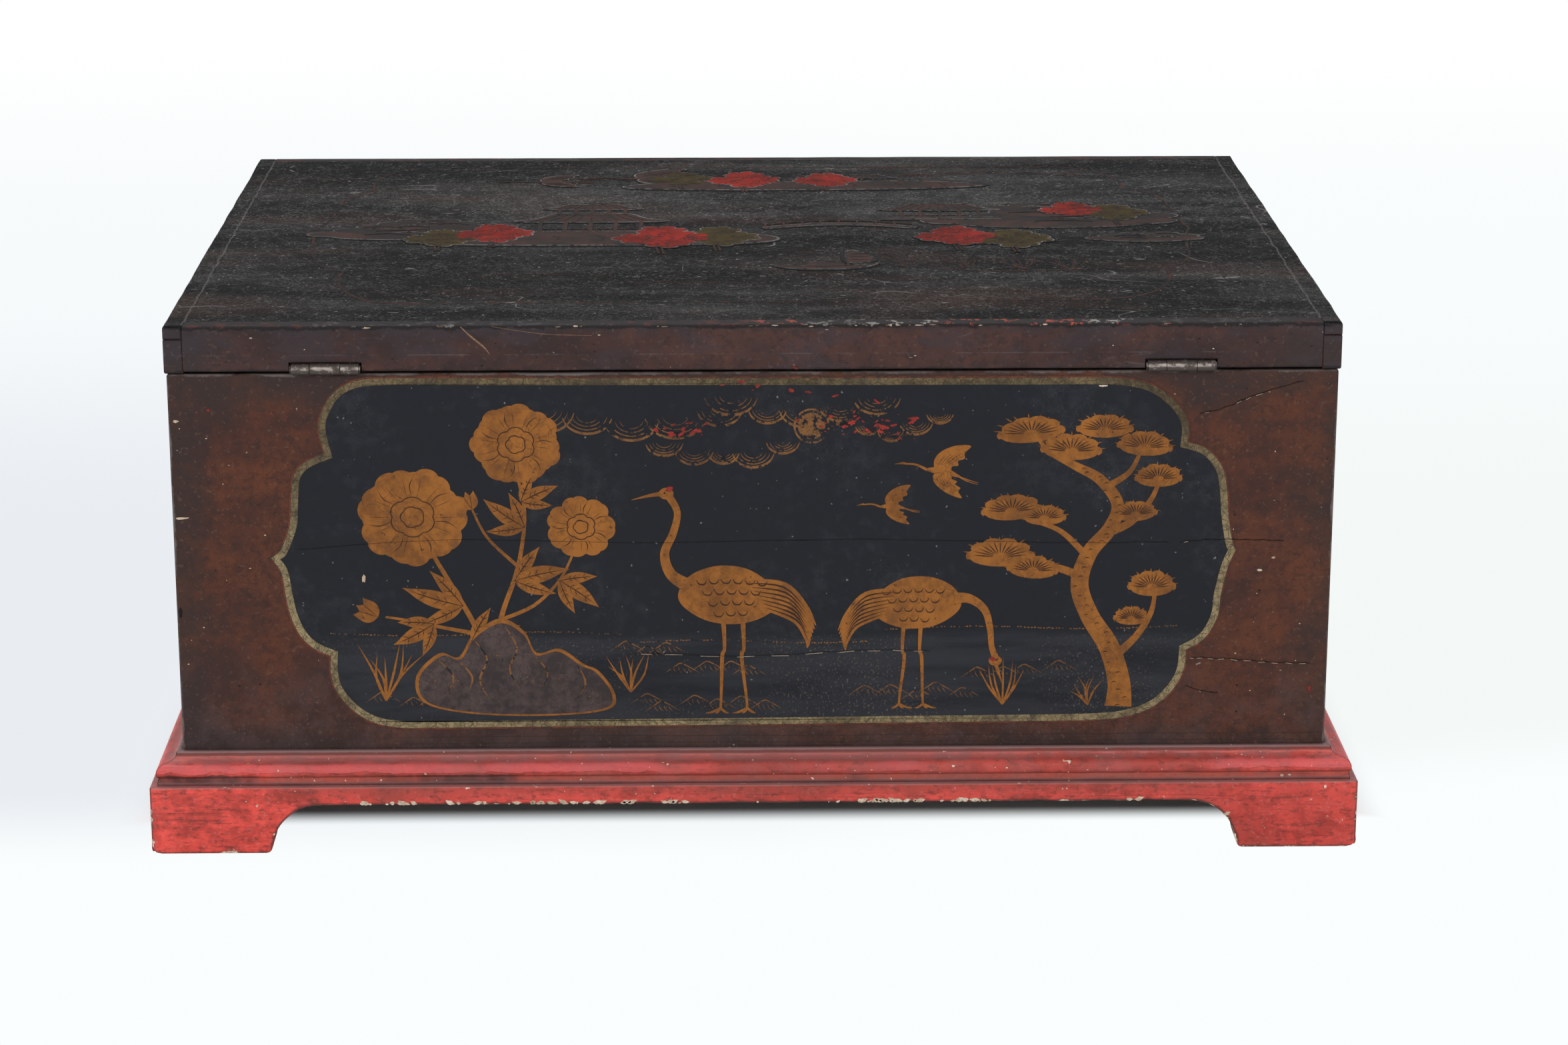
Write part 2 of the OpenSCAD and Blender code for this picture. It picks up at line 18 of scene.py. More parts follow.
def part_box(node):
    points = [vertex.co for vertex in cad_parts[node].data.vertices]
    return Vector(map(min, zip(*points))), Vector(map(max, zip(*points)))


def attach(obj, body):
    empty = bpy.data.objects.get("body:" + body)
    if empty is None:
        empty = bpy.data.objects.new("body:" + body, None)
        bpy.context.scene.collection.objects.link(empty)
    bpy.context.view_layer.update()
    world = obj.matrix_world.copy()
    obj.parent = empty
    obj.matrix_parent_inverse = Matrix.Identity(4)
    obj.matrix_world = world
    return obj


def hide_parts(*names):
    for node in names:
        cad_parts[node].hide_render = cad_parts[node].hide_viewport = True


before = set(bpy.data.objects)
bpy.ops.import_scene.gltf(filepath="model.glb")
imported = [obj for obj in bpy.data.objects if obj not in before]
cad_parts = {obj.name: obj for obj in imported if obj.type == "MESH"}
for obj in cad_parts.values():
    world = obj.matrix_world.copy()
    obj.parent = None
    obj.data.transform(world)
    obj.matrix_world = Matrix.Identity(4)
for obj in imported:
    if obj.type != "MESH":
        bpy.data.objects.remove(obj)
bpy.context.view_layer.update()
MM = 0.001
SAME_PLACE = 0.01 * MM


def shown(name, data):
    """A new object in the scene with this data."""
    thing = bpy.data.objects.new(name, data)
    bpy.context.scene.collection.objects.link(thing)
    return thing


def corners(*nodes):
    """Lowest and highest corner of some CAD nodes together."""
    boxes = [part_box(node) for node in nodes]
    low = [min(box[0][i] for box in boxes) for i in range(3)]
    high = [max(box[1][i] for box in boxes) for i in range(3)]
    return Vector(low), Vector(high)


case_high = corners("back_board", "front_board", "left_board", "right_board")[1]
lid_low, lid_high = corners("lid_rail_back", "lid_rail_front", "lid_cleat_left", "lid_cleat_right")
plinth_high = corners("base_board_back", "base_board_front")[1]
HALF_W = case_high.x
HALF_D = case_high.y
RIM = case_high.z
LID_TOP = lid_high.z
BASE_H = plinth_high.z
MOULD_TOP = corners("moulding_back")[1].z
PLINTH_OUT = plinth_high.x - HALF_W
print("case half width and depth", round(HALF_W, 4), round(HALF_D, 4), "rim", round(RIM, 4))
print("lid top", round(LID_TOP, 4), "base boards", round(BASE_H, 4), "moulding top", round(MOULD_TOP, 4))

# %% [markdown]
# ## The camera
# A photograph of a box is easy to match, because its edges are straight and square. The lens and
# the place of the camera come from the box's own corners: a long lens from about two metres,
# looking down by 16 degrees.

# %% Camera
LENS_MM, CAMERA_PLACE = 89.42, (-0.01954, -2.19448, 0.74932)
LOOK_DOWN, LOOK_ASIDE = 16.213, -1.0227
camera_data = bpy.data.cameras.new("studio_camera")
camera_data.sensor_fit = "HORIZONTAL"
camera_data.sensor_width = 36.0
camera_data.lens = LENS_MM
camera_data.clip_start = 0.05
camera_data.clip_end = 60.0
camera = shown("studio_camera", camera_data)
camera.location = CAMERA_PLACE
camera.rotation_euler = (radians(90 - LOOK_DOWN), 0.0, radians(LOOK_ASIDE))
bpy.context.scene.camera = camera
bpy.context.scene.view_settings.view_transform = "Standard"
print("camera at", tuple(round(c, 3) for c in camera.location))

# %% [markdown]
# ## A short way to write node trees
# Materials and Geometry Nodes are both trees of nodes. Wrapping an output socket in a small class
# lets us write `1 - mask * 0.5` and get the Math nodes for it. One method adds every other node.


# %% Node trees as Python
class Value:
    """One output socket. Arithmetic on values adds Math nodes to their tree."""

    def __init__(self, tree, socket):
        self.tree, self.socket = tree, socket

    def math(self, operation, a, b=0.0):
        return self.tree.node("ShaderNodeMath", {"operation": operation}, {0: a, 1: b})

    def __rsub__(self, other):
        return self.math("SUBTRACT", other, self)

    def __abs__(self):
        return self.math("ABSOLUTE", self)


def math_method(operation):
    return lambda self, other=0.0: self.math(operation, self, other)


for names, operation in (
    ("__add__ __radd__", "ADD"), ("__mul__ __rmul__", "MULTIPLY"), ("__sub__", "SUBTRACT"), ("__truediv__", "DIVIDE"),
    ("root", "SQRT"), ("at_least", "MAXIMUM"), ("at_most", "MINIMUM"),
):
    for name in names.split():
        setattr(Value, name, math_method(operation))


class Tree:
    """A node tree, with one method that adds any node."""

    def __init__(self, tree):
        self.tree = tree

    def node(self, kind, settings=None, sockets=None, out=0):
        node = self.tree.nodes.new(kind)
        for name, value in (settings or {}).items():
            setattr(node, name, value)
        for key, value in (sockets or {}).items():
            socket = node.inputs[key]
            if isinstance(value, Value):
                self.tree.links.new(value.socket, socket)
            elif isinstance(value, (tuple, list)) and socket.type == "RGBA":
                socket.default_value = (*value[:3], 1.0)
            else:
                socket.default_value = value
        return Value(self, node.outputs[out])

    def parts(self, vector):
        """The three numbers of a vector."""
        split = self.node("ShaderNodeSeparateXYZ", sockets={0: vector})
        return [Value(self, part) for part in split.socket.node.outputs]


# %% [markdown]
# ## Finishes
# Every finish reads Object coordinates, in metres, so a pattern has its real scale: noise at scale
# 100 has features of about 10 mm. The helpers make noise, cells for crackle, a soft threshold,
# coats of colour, and thin curling lines, which are the places where a slow noise passes one level.


# %% Finish helper
class Finish(Tree):
    def __init__(self, name, roughness=0.5, specular=0.3, metallic=0.0):
        self.material = bpy.data.materials.new(name)
        self.material.use_nodes = True
        super().__init__(self.material.node_tree)
        self.shader = self.tree.nodes["Principled BSDF"]
        self.shader.inputs["Roughness"].default_value = roughness
        self.shader.inputs["Specular IOR Level"].default_value = specular
        self.shader.inputs["Metallic"].default_value = metallic
        self.at = self.node("ShaderNodeTexCoord", out="Object")

    def moved(self, stretch=(1, 1, 1), shift=0.0):
        sockets = {"Vector": self.at, "Scale": stretch, "Location": (shift, shift * 0.7, shift * 1.3)}
        return self.node("ShaderNodeMapping", sockets=sockets)

    def noise(self, scale, detail=3.0, rough=0.55, stretch=(1, 1, 1), shift=0.0):
        sockets = {"Vector": self.moved(stretch, shift), "Scale": scale, "Detail": detail, "Roughness": rough}
        return self.node("ShaderNodeTexNoise", sockets=sockets)

    def cracks(self, scale, width, stretch=(1, 1, 1), shift=0.0, bend=0.0):
        """1 on the thin lines between cells, and 0 inside them."""
        at = self.moved(stretch, shift)
        if bend:
            wander = self.node("ShaderNodeTexNoise", sockets={"Vector": at, "Scale": scale * 0.7}, out="Color")
            at = self.node("ShaderNodeMix", {"data_type": "VECTOR"}, {0: bend, 4: at, 5: wander}, out=1)
        cell = self.node(
            "ShaderNodeTexVoronoi", {"feature": "DISTANCE_TO_EDGE"}, {"Vector": at, "Scale": scale}
        )
        return 1 - self.step(cell, 0.0, width)

    def step(self, value, low, high):
        """0 below low, 1 above high and smooth between. low may be above high."""
        sockets = {"Value": value, "From Min": low, "From Max": high}
        return self.node("ShaderNodeMapRange", {"interpolation_type": "SMOOTHSTEP"}, sockets)

    def curls(self, scale, width, level=0.5, shift=0.0, stretch=(1, 1, 1)):
        slow = self.noise(scale, 2.0, 0.5, stretch, shift)
        return 1 - self.step(abs(slow - level), 0.0, width)

    def spots(self, low, high, *noise, **more):
        """A mask of the places where a noise passes from low to high."""
        return self.step(self.noise(*noise, **more), low, high)

    def mix(self, mask, a, b):
        return self.node("ShaderNodeMix", {"data_type": "RGBA"}, {0: mask, 6: a, 7: b}, out=2)

    def ground(self, mask, a, b):
        self.colour = self.mix(mask, a, b)

    def coat(self, mask, colour):
        """One more colour over what is there, where the mask is 1."""
        self.colour = self.mix(mask, self.colour, colour)

    def done(self, roughness, height, distance, strength=0.5, metallic=None):
        """Links colour, roughness and relief to the shader."""
        bump = self.node("ShaderNodeBump", sockets={"Height": height, "Distance": distance, "Strength": strength})
        links = {"Base Color": self.colour, "Roughness": roughness, "Metallic": metallic, "Normal": bump}
        for name, value in links.items():
            if value:
                self.tree.links.new(value.socket, self.shader.inputs[name])
        return self.material


# %% [markdown]
# ## The studio
# A white floor that runs back out of sight, an even white sky and two wide soft lamps. The lamps
# are kept so low that white paper would just stay white, so each colour renders about as written.
# To the camera and in reflections the sky is plain white.

# %% Floor, sky and lamps
FLOOR_SIZE = 24.0
world = bpy.data.worlds.new("studio_sky")
world.use_nodes = True
bpy.context.scene.world = world
sky = Tree(world.node_tree)
background = world.node_tree.nodes["Background"]
seen = sky.node("ShaderNodeLightPath", out="Is Camera Ray")
mirrored = sky.node("ShaderNodeLightPath", out="Is Glossy Ray")
strength = 0.72 + 0.28 * seen - 0.22 * mirrored
world.node_tree.links.new(strength.socket, background.inputs["Strength"])
background.inputs["Color"].default_value = (0.97, 0.985, 1.0, 1.0)

paper = Finish("studio_floor", roughness=0.9, specular=0.1)
floor_x, floor_y = paper.parts(paper.at)[:2]
# Beside and beyond the box the floor's glow is greyer, most on the left: painted shade of the backdrop.
behind = paper.mix(paper.step(floor_x, -0.45, 0.45), (0.815, 0.845, 0.885), (0.904, 0.939, 0.93))
back_wards = floor_y - (floor_x * 0.25).at_least(0.0)
far_white = paper.mix(paper.step(back_wards, -0.27, -0.14), (0.955, 0.99, 0.99), behind)
far_white = paper.mix(paper.step(floor_y, 0.35, 1.1) * 0.8, far_white, (0.95, 0.98, 0.985))
far_white = paper.mix(paper.step(floor_y, 1.1, 2.6), far_white, (1.0, 1.0, 1.0))
paper.shader.inputs["Base Color"].default_value = (0.87, 0.895, 0.9, 1.0)
away = (abs(floor_x) - HALF_W).at_least(abs(floor_y) - HALF_D)
# Under the box's back edge the floor also glows white to the camera, fully to 24 mm in and fading by 49 mm: painted
# light in place of the box's shadow.
open_side = paper.step(0 - floor_y - HALF_D, -0.049, -0.024)
only_seen = paper.step(away, 0.004, 0.045).at_least(open_side) * paper.node("ShaderNodeLightPath",
    out="Is Camera Ray")
glow = paper.node("ShaderNodeEmission", sockets={"Color": far_white})
blend = paper.node("ShaderNodeMixShader", sockets={0: only_seen, 1: Value(paper, paper.shader.outputs[0]), 2: glow})
paper.tree.links.new(blend.socket, paper.tree.nodes["Material Output"].inputs["Surface"])

bpy.ops.mesh.primitive_grid_add(x_subdivisions=24, y_subdivisions=24, size=FLOOR_SIZE)
floor = bpy.context.object
floor.name = "studio_floor"
floor.data.materials.append(paper.material)


def soft_lamp(name, place, size, watts):
    data = bpy.data.lights.new(name, "AREA")
    data.shape = "RECTANGLE"
    data.size, data.size_y = size
    data.energy = watts
    lamp = shown(name, data)
    lamp.location = place
    lamp.rotation_euler = (Vector((0, 0, 0.1)) - Vector(place)).to_track_quat("-Z", "Y").to_euler()


soft_lamp("lamp_left", (-1.9, -2.2, 2.3), (1.6, 1.2), 30)
soft_lamp("lamp_right", (1.7, -2.6, 2.2), (1.6, 1.2), 24)
soft_lamp("lamp_top", (-0.3, 0.6, 2.6), (2.0, 1.4), 30)
print("studio ready")

# %% [markdown]
# ## Brown lacquer of the case
# The sides carry a thin red-brown lacquer that has darkened unevenly. It is blackest where hands
# and dust reach: at the corners, under the lid and above the plinth. On the arrises it has rubbed
# through to a pale grey.


# %% Brown lacquer
def brown_lacquer():
    f = Finish("brown_lacquer", specular=0.15)
    x, y, z = f.parts(f.at)
    cloud = f.noise(9, 5, 0.68)
    fine = f.noise(60, 4, 0.7, shift=3.1)
    grain = f.noise(420, 2, 0.6, shift=1.7)
    wipe = f.noise(26, 4, 0.65, stretch=(0.35, 0.35, 1.5), shift=5.0)
    tone = f.step(cloud * 0.42 + fine * 0.33 + wipe * 0.25 + x * 0.05, 0.4, 0.62)
    f.ground(tone, (0.046, 0.0195, 0.0155), (0.106, 0.034, 0.0175))
    pepper = f.spots(0.5, 0.64, 230, 3, 0.7, shift=2.3)
    f.coat(pepper * 0.45, (0.03, 0.016, 0.014))
    corner = (HALF_W - abs(x)).at_least(HALF_D - abs(y))
    edge = corner.at_most(RIM - z).at_most((z - MOULD_TOP) * 1.6)
    dark = f.step(edge + (cloud - 0.5) * 0.09 + (fine - 0.5) * 0.03, 0.03, -0.004)
    f.coat(dark * 0.62, (0.03, 0.0225, 0.0215))
    speck = f.step(grain, 0.6, 0.7)
    f.coat(speck * 0.35, (0.13, 0.075, 0.052))
    haze = f.step((z - MOULD_TOP) * 0.5 + (cloud - 0.5) * 0.1, 0.03, 0.0) * f.step(fine, 0.4, 0.6)
    f.coat(haze * 0.3, (0.06, 0.05, 0.054))
    dot = f.spots(0.72 - 0.02 * haze, 0.77, 1300, 1, 0.5, shift=4.0)
    f.coat(dot * 0.5, (0.26, 0.22, 0.19))
    for height in (0.0025, 0.0062):
        line = f.step(abs(z - MOULD_TOP - height + (cloud - 0.5) * 0.004), 0.0004, 0.0001) * f.step(x, -0.21, -0.17)
        f.coat(line * 0.5, (0.022, 0.015, 0.014))
    arris = f.step(corner.at_most(RIM - z) + (fine - 0.5) * 0.005, 0.0012, 0.0)
    f.coat(arris * 0.7, (0.15, 0.125, 0.115))
    crack = f.cracks(210, 0.035, bend=0.01) * f.step(cloud, 0.45, 0.6)
    f.coat(crack * 0.35, (0.012, 0.008, 0.007))
    knock = f.spots(0.775, 0.785, 190, 2, 0.6, shift=9.0)
    f.coat(knock, (0.22, 0.17, 0.13))
    height = fine * 0.5 + grain * 0.35 - crack * 0.5 - knock * 0.8
    return f.done(0.5 + 0.25 * fine, height, 0.0006)


# %% [markdown]
# ## Black lacquer of the lid
# The lid's top is charcoal rather than black: the lacquer has gone matt, fine dust lies in it, and
# a net of small cracks catches the light. Long pale scratches curl over it.


# %% Black lacquer
def black_lacquer():
    f = Finish("black_lacquer", specular=0.06)
    x, y, z = f.parts(f.at)
    cloud = f.noise(6, 4, 0.6)
    drawn = f.noise(16, 4, 0.6, stretch=(0.3, 1.6, 1), shift=2.0)
    pebble = f.noise(520, 2, 0.5)
    fine = f.noise(90, 4, 0.7, shift=4.0)
    band = f.step(abs(y - 0.085 + (cloud - 0.5) * 0.1), 0.1, 0.02)
    near = f.step(y - lid_low.y + (fine - 0.5) * 0.02, 0.014, 0.0)
    dust = f.step(cloud * 0.45 + drawn * 0.55 + band * 0.06 + near * 0.12, 0.43, 0.68)
    dust = dust * (1 - 0.35 * f.step(x, -0.05, -0.24))
    f.ground(dust, (0.005, 0.0052, 0.0058), (0.036, 0.0355, 0.0345))
    warm = f.spots(0.48, 0.66, 7, 4, 0.65, stretch=(0.5, 1.4, 1), shift=7.0)
    f.coat(warm * 0.55, (0.036, 0.019, 0.014))
    # Painted glints of the pebbled lacquer in pale dots, more in the dust, and painted shade of the pebbles in dark
    # dots.
    painted_glints = f.spots(0.52, 0.68, 850, 2, 0.6, (1, 0.45, 1), 9.0)
    f.coat(painted_glints * (0.1 + 0.4 * dust), (0.105, 0.102, 0.1))
    f.coat(f.step(pebble, 0.46, 0.34) * 0.6, (0.003, 0.003, 0.0034))
    net = f.cracks(300, 0.1, stretch=(0.75, 1, 1), bend=0.006) * f.step(fine, 0.36, 0.6)
    f.coat(net * (0.28 + 0.16 * band), (0.15, 0.145, 0.14))
    crack = f.cracks(75, 0.018, bend=0.022) * f.step(fine * 0.5 + drawn * 0.5, 0.47, 0.6)
    f.coat(crack * 0.55, (0.17, 0.165, 0.16))
    scratch = f.curls(5, 0.0011, shift=1.0) * f.spots(0.58, 0.64, 16, 2, 0.5, shift=8.0)
    for scale, level, shift in ((4, 0.43, 5.0), (6, 0.55, 12.0), (9, 0.47, 21.0), (13, 0.52, 33.0)):
        part = f.spots(0.6, 0.65, 26, 2, 0.5, shift=shift + 3.0)
        scratch = scratch.at_least(f.curls(scale, 0.0015, level, shift, (0.7, 1.3, 1)) * part)
    f.coat(scratch * 0.7, (0.21, 0.2, 0.19))
    fleck = f.spots(0.7, 0.75, 330, 1, 0.5, shift=6.0).at_least(f.spots(0.765, 0.785, 120, 1, 0.5, (0.6, 1.5, 1),
        2.5))
    f.coat(fleck * 0.6, (0.21, 0.195, 0.18))
    joint = f.step(abs(abs(x) - lid_high.x + 0.0102 + (fine - 0.5) * 0.003), 0.0008, 0.0002)
    f.coat(joint * 0.45, (0.15, 0.14, 0.13))
    edge = (lid_high.x - abs(x)).at_most(lid_high.y - y).at_most(y - lid_low.y)
    rub = f.step(edge + (f.noise(160, 3, 0.7, shift=5.0) - 0.5) * 0.01, 0.0006, -0.001) * f.step(cloud, 0.42, 0.6)
    f.coat(rub * f.step(z, LID_TOP - 0.004, LID_TOP - 0.001) * 0.6, (0.17, 0.155, 0.145))
    lip = f.step((lid_high.y - y).at_most(y - lid_low.y) + (fine - 0.5) * 0.002, 0.0036, 0.0026)
    f.coat(lip * 0.92, (0.0035, 0.0033, 0.0033))
    height = pebble * 0.3 + fine * 0.35 - crack * 0.35 - scratch * 0.6 - net * 0.15 - joint * 0.5
    return f.done(0.62 + 0.25 * fine, height, 0.0007, 0.55)


# %% [markdown]
# ## The lid's edge
# The rails round the lid have the case's brown, nearly black at the ends and under the top arris,
# where the black of the top has run over and chipped off again to red.


# %% Lid edge lacquer
def edge_lacquer():
    f = Finish("lid_edge_lacquer", specular=0.15)
    x, y, z = f.parts(f.at)
    cloud = f.noise(7, 4, 0.6, stretch=(1, 1, 2.2))
    fine = f.noise(60, 4, 0.65, shift=3.0)
    grain = f.noise(430, 2, 0.6, shift=1.0)
    tone = f.step(cloud * 0.7 + fine * 0.3, 0.38, 0.62)
    f.ground(tone, (0.036, 0.0205, 0.0195), (0.078, 0.034, 0.027))
    pepper = f.spots(0.5, 0.64, 200, 3, 0.7, shift=2.0)
    f.coat(pepper * 0.5, (0.026, 0.018, 0.018))
    end = (lid_high.x - abs(x)).at_least(lid_high.y - abs(y))
    dark = f.step(end + (fine - 0.5) * 0.02, 0.05, 0.004)
    dark = dark.at_least(f.step(LID_TOP - z + (fine - 0.5) * 0.006, 0.006, 0.001))
    f.coat(dark * 0.68, (0.03, 0.025, 0.026))
    blue = f.spots(0.47, 0.62, 34, 4, 0.7, (0.7, 1, 1.6), 12.0)
    f.coat(blue * 0.45, (0.04, 0.033, 0.041))
    speck = f.step(grain, 0.6, 0.7)
    f.coat(speck * 0.3, (0.11, 0.08, 0.065))
    hair = f.curls(14, 0.005, 0.47, 4.0, (0.35, 1, 2.0)) * f.step(fine, 0.52, 0.64)
    f.coat(hair * 0.3, (0.13, 0.1, 0.085))
    line = f.step(abs(LID_TOP - 0.0163 - z), 0.0005, 0.0001) * f.step(fine, 0.46, 0.6)
    f.coat(line * 0.4, (0.1, 0.085, 0.08))
    ragged = f.noise(150, 3, 0.7, shift=8.0)
    top = LID_TOP - z + (ragged - 0.5) * 0.011
    black = f.step(LID_TOP - z + (ragged - 0.5) * 0.006, 0.003, 0.002)
    f.coat(black * 0.75, (0.01, 0.009, 0.0095))
    knocked = f.step(f.noise(6, 2, 0.5, shift=6.0) + x.at_most(0.2) * 0.5, 0.5, 0.58) * f.step(y, 0.2, 0.16)
    knocked = knocked * f.step(abs(x), HALF_W + 0.0005, HALF_W - 0.004)
    chip = f.step(top, 0.0004, -0.0004) * (0.12 + 0.88 * knocked)
    bare = f.spots(0.5, 0.54, 10, 2, 0.5, shift=1.0)
    f.coat(chip * 0.85, f.mix(bare, (0.25, 0.23, 0.215), (0.33, 0.055, 0.03)))
    # Painted shade: a near-black band along the rails' lower edge, in the crease where the lid meets the case.
    low = f.step(z - RIM + (fine - 0.5) * 0.004, 0.003, 0.001)
    f.coat(low * 0.8, (0.01, 0.008, 0.008))
    return f.done(0.5 + 0.25 * fine, fine * 0.5 + grain * 0.35 - chip * 0.5, 0.0006)


# %% [markdown]
# ## Red lacquer of the plinth
# The plinth was brushed with crimson over a dark ground. A thicker pink skin lies on the bead and
# has crept back from its lower edge, where the dark ground shows. Dust lies on the ledge, the
# arrises have gone dark, and the lowest edges have lost their lacquer down to the white ground. To
# find those edges the finish works out its own distance to the arch, which ends in quarter circles.

# %% Sizes of the base boards
FOOT_W, FOOT_EDGE, FOOT_LEAN, ARCH_H, ARCH_R = 0.064, 0.011, 0.0024, 0.027, 0.026
ARCH_SWEEP = acos((ARCH_R - ARCH_H + FOOT_EDGE) / ARCH_R)
ARCH_END = FOOT_W + FOOT_LEAN + ARCH_R * sin(ARCH_SWEEP)


# %% Red lacquer
def red_lacquer():
    f = Finish("red_lacquer", specular=0.26)
    x, y, z = f.parts(f.at)
    up = (z - BASE_H) * 1000
    out = (abs(x) - HALF_W).at_least(abs(y) - HALF_D)
    cloud, fine = f.noise(14, 4, 0.65), f.noise(85, 4, 0.7, shift=2.0)
    grain = f.noise(380, 3, 0.6, shift=1.0)
    drawn = f.noise(26, 4, 0.65, stretch=(0.35, 0.35, 2.4), shift=6.0)
    f.ground(f.step(drawn * 0.5 + fine * 0.5, 0.36, 0.62), (0.34, 0.036, 0.027), (0.8, 0.084, 0.064))
    stain = f.step(cloud * 0.35 + fine * 0.3 + drawn * 0.35, 0.49, 0.6)
    f.coat(stain * 0.62, (0.155, 0.036, 0.028))
    pepper = f.spots(0.5, 0.66, 300, 3, 0.7, (0.6, 0.6, 1.4), 19.0)
    f.coat(pepper * 0.62, (0.13, 0.026, 0.02))
    powder = f.spots(0.56, 0.7, 520, 3, 0.7, shift=23.0)
    f.coat(powder * 0.24, (0.6, 0.28, 0.25))
    shade = f.step(up, -9.0, -1.0) * f.step(abs(x), HALF_W - 0.035, HALF_W - 0.075)
    f.coat(shade * 0.42, (0.2, 0.05, 0.038))
    scratch = f.spots(0.6, 0.68, 120, 3, 0.7, stretch=(0.1, 0.1, 3.0), shift=3.0)
    f.coat(scratch * 0.45, (0.07, 0.018, 0.015))
    # Moulding: dark ground under the skin, the skin itself, and a duller cove
    on_moulding = f.step(up, 0.15, 0.35)
    patches = f.spots(0.42, 0.54, 7, 3, 0.6, stretch=(1, 1, 0.2), shift=9.0)
    wavy = (f.noise(75, 3, 0.6, stretch=(1, 1, 0.3), shift=4.0) - 0.5) * 7 + (patches - 0.5) * -1.6
    below_bead = f.step(up + wavy * 0.3, 5.2, 4.4) * on_moulding
    f.coat(below_bead * 0.45, (0.3, 0.076, 0.048))
    worn_run = f.step(f.noise(13, 3, 0.6, (1, 1, 0.2), 15.0) - x * 0.45, 0.5, 0.6)
    bare = f.step(up + wavy * 0.5, 5.4, 4.8) * on_moulding * worn_run
    f.coat(bare * 0.85, f.mix(f.step(fine, 0.45, 0.62), (0.046, 0.018, 0.016), (0.12, 0.036, 0.03)))
    skin = f.step(up + wavy, 5.8, 6.3) * f.step(up + wavy * 0.4, 11.4, 10.6) * patches
    f.coat(skin * 0.62, (0.62, 0.105, 0.108))
    cove = f.step(up, 10.6, 11.6)
    mottle = f.spots(0.44, 0.6, 42, 4, 0.7, (1, 1, 0.35), 7.0) * on_moulding
    f.coat(mottle * (0.2 + 0.34 * cove), (0.24, 0.11, 0.104))
    # Painted sheen towards the right end: there the cove stays redder and the painted highlight is brighter.
    painted_sheen_right = f.step(x + (cloud - 0.5) * 0.2, 0.06, 0.2)
    f.coat(cove * (0.62 - painted_sheen_right * 0.4), (0.27, 0.105, 0.097))
    # Painted highlight: a broken pink line along the upper cove.
    painted_crest_highlight = f.step(abs(up - 13.0 + (fine - 0.5) * 0.8), 0.55, 0.15)
    f.coat(painted_crest_highlight * f.step(fine, 0.35, 0.65) * (0.35 + painted_sheen_right * 0.4), (0.62, 0.13, 0.11))
    groove = f.step(up + (fine - 0.5) * 0.6, 13.5, 13.9)
    f.coat(groove * 0.72, (0.11, 0.032, 0.024))
    dusty = f.step(up + (fine - 0.5) * 1.2, 15.0, 15.5) * 0.75
    top_face = f.step(abs(up), 0.3, 0.1) * f.step(out, PLINTH_OUT + 0.001, PLINTH_OUT - 0.0005)
    dusty = dusty.at_least(top_face * (0.45 + 0.45 * fine)).at_least(f.step(up + wavy * 0.12, 2.2,
        1.2) * on_moulding * 0.55)
    f.coat(dusty, (0.215, 0.14, 0.138))
    foot = f.step(abs(up - 4.6 + (fine - 0.5)), 0.4, 0.1) * on_moulding * 0.4
    f.coat(foot, (0.05, 0.024, 0.022))
    ledge = f.step(abs(up + 0.1), 0.7, 0.2) * f.step(out, PLINTH_OUT - 0.0012, PLINTH_OUT - 0.0006)
    f.coat(ledge * (0.12 + 0.5 * fine), (0.36, 0.17, 0.15))
    # Arrises of the base boards
    along = (HALF_W + PLINTH_OUT - abs(x)).at_least(HALF_D + PLINTH_OUT - abs(y))
    sideways = (ARCH_END - along).at_least(0.0)
    rise = z - (ARCH_H - ARCH_R)
    to_arch = (sideways * sideways + rise * rise).root() - ARCH_R
    below = f.step(up, 0.2, 0.0)
    arris = to_arch.at_most(along).at_most(z)
    line = f.step(arris + (fine - 0.5) * 0.0028, 0.002, 0.0004) * below
    f.coat(line * 0.75, (0.055, 0.022, 0.018))
    seam = f.step(abs(abs(x) - HALF_W - abs(y) + HALF_D), 0.0005, 0.0001) * f.step(out, 0.0, 0.001)
    f.coat(seam * 0.7, (0.03, 0.013, 0.011))
    # White ground where the lacquer has flaked off the arch
    lost = f.spots(0.54, 0.59, 19, 2, 0.5, stretch=(1, 1, 0.3), shift=11.0)
    flake = f.step(to_arch + (f.noise(240, 2, 0.6, shift=8.0) - 0.5) * 0.0052, 0.0002, -0.0002) * below * lost
    low = f.step(along.at_most(z) + (fine - 0.5) * 0.016, 0.0002, -0.0012) * below * f.step(out, PLINTH_OUT - 0.004,
        PLINTH_OUT - 0.001)
    spot = f.spots(0.755, 0.765, 160, 2, 0.5, shift=14.0).at_least(f.spots(0.745, 0.765, 420, 1, 0.5,
        shift=17.0)) * 0.7
    pale = flake.at_least(low).at_least(spot)
    f.coat(pale, f.mix(f.step(grain, 0.4, 0.6), (0.55, 0.43, 0.3), (0.8, 0.72, 0.58)))
    height = fine * 0.4 + grain * 0.12 + skin * 0.6 - pale * 0.5 - seam * 0.8 - bare * 0.25
    return f.done(0.26 + 0.3 * fine + 0.2 * bare, height, 0.0008, 0.6)


# %% [markdown]
# ## Bare and lined wood
# Nothing inside or underneath shows in the photograph. Boxes of this kind are often lined with a
# dull red-brown wash, and the wood underneath is left bare and goes grey-brown. The bottom board
# is darker still, as painted shade under the box.


# %% Inside wash and bare wood
WASH_RED, WASH_DARK = (0.105, 0.034, 0.022), (0.062, 0.022, 0.015)


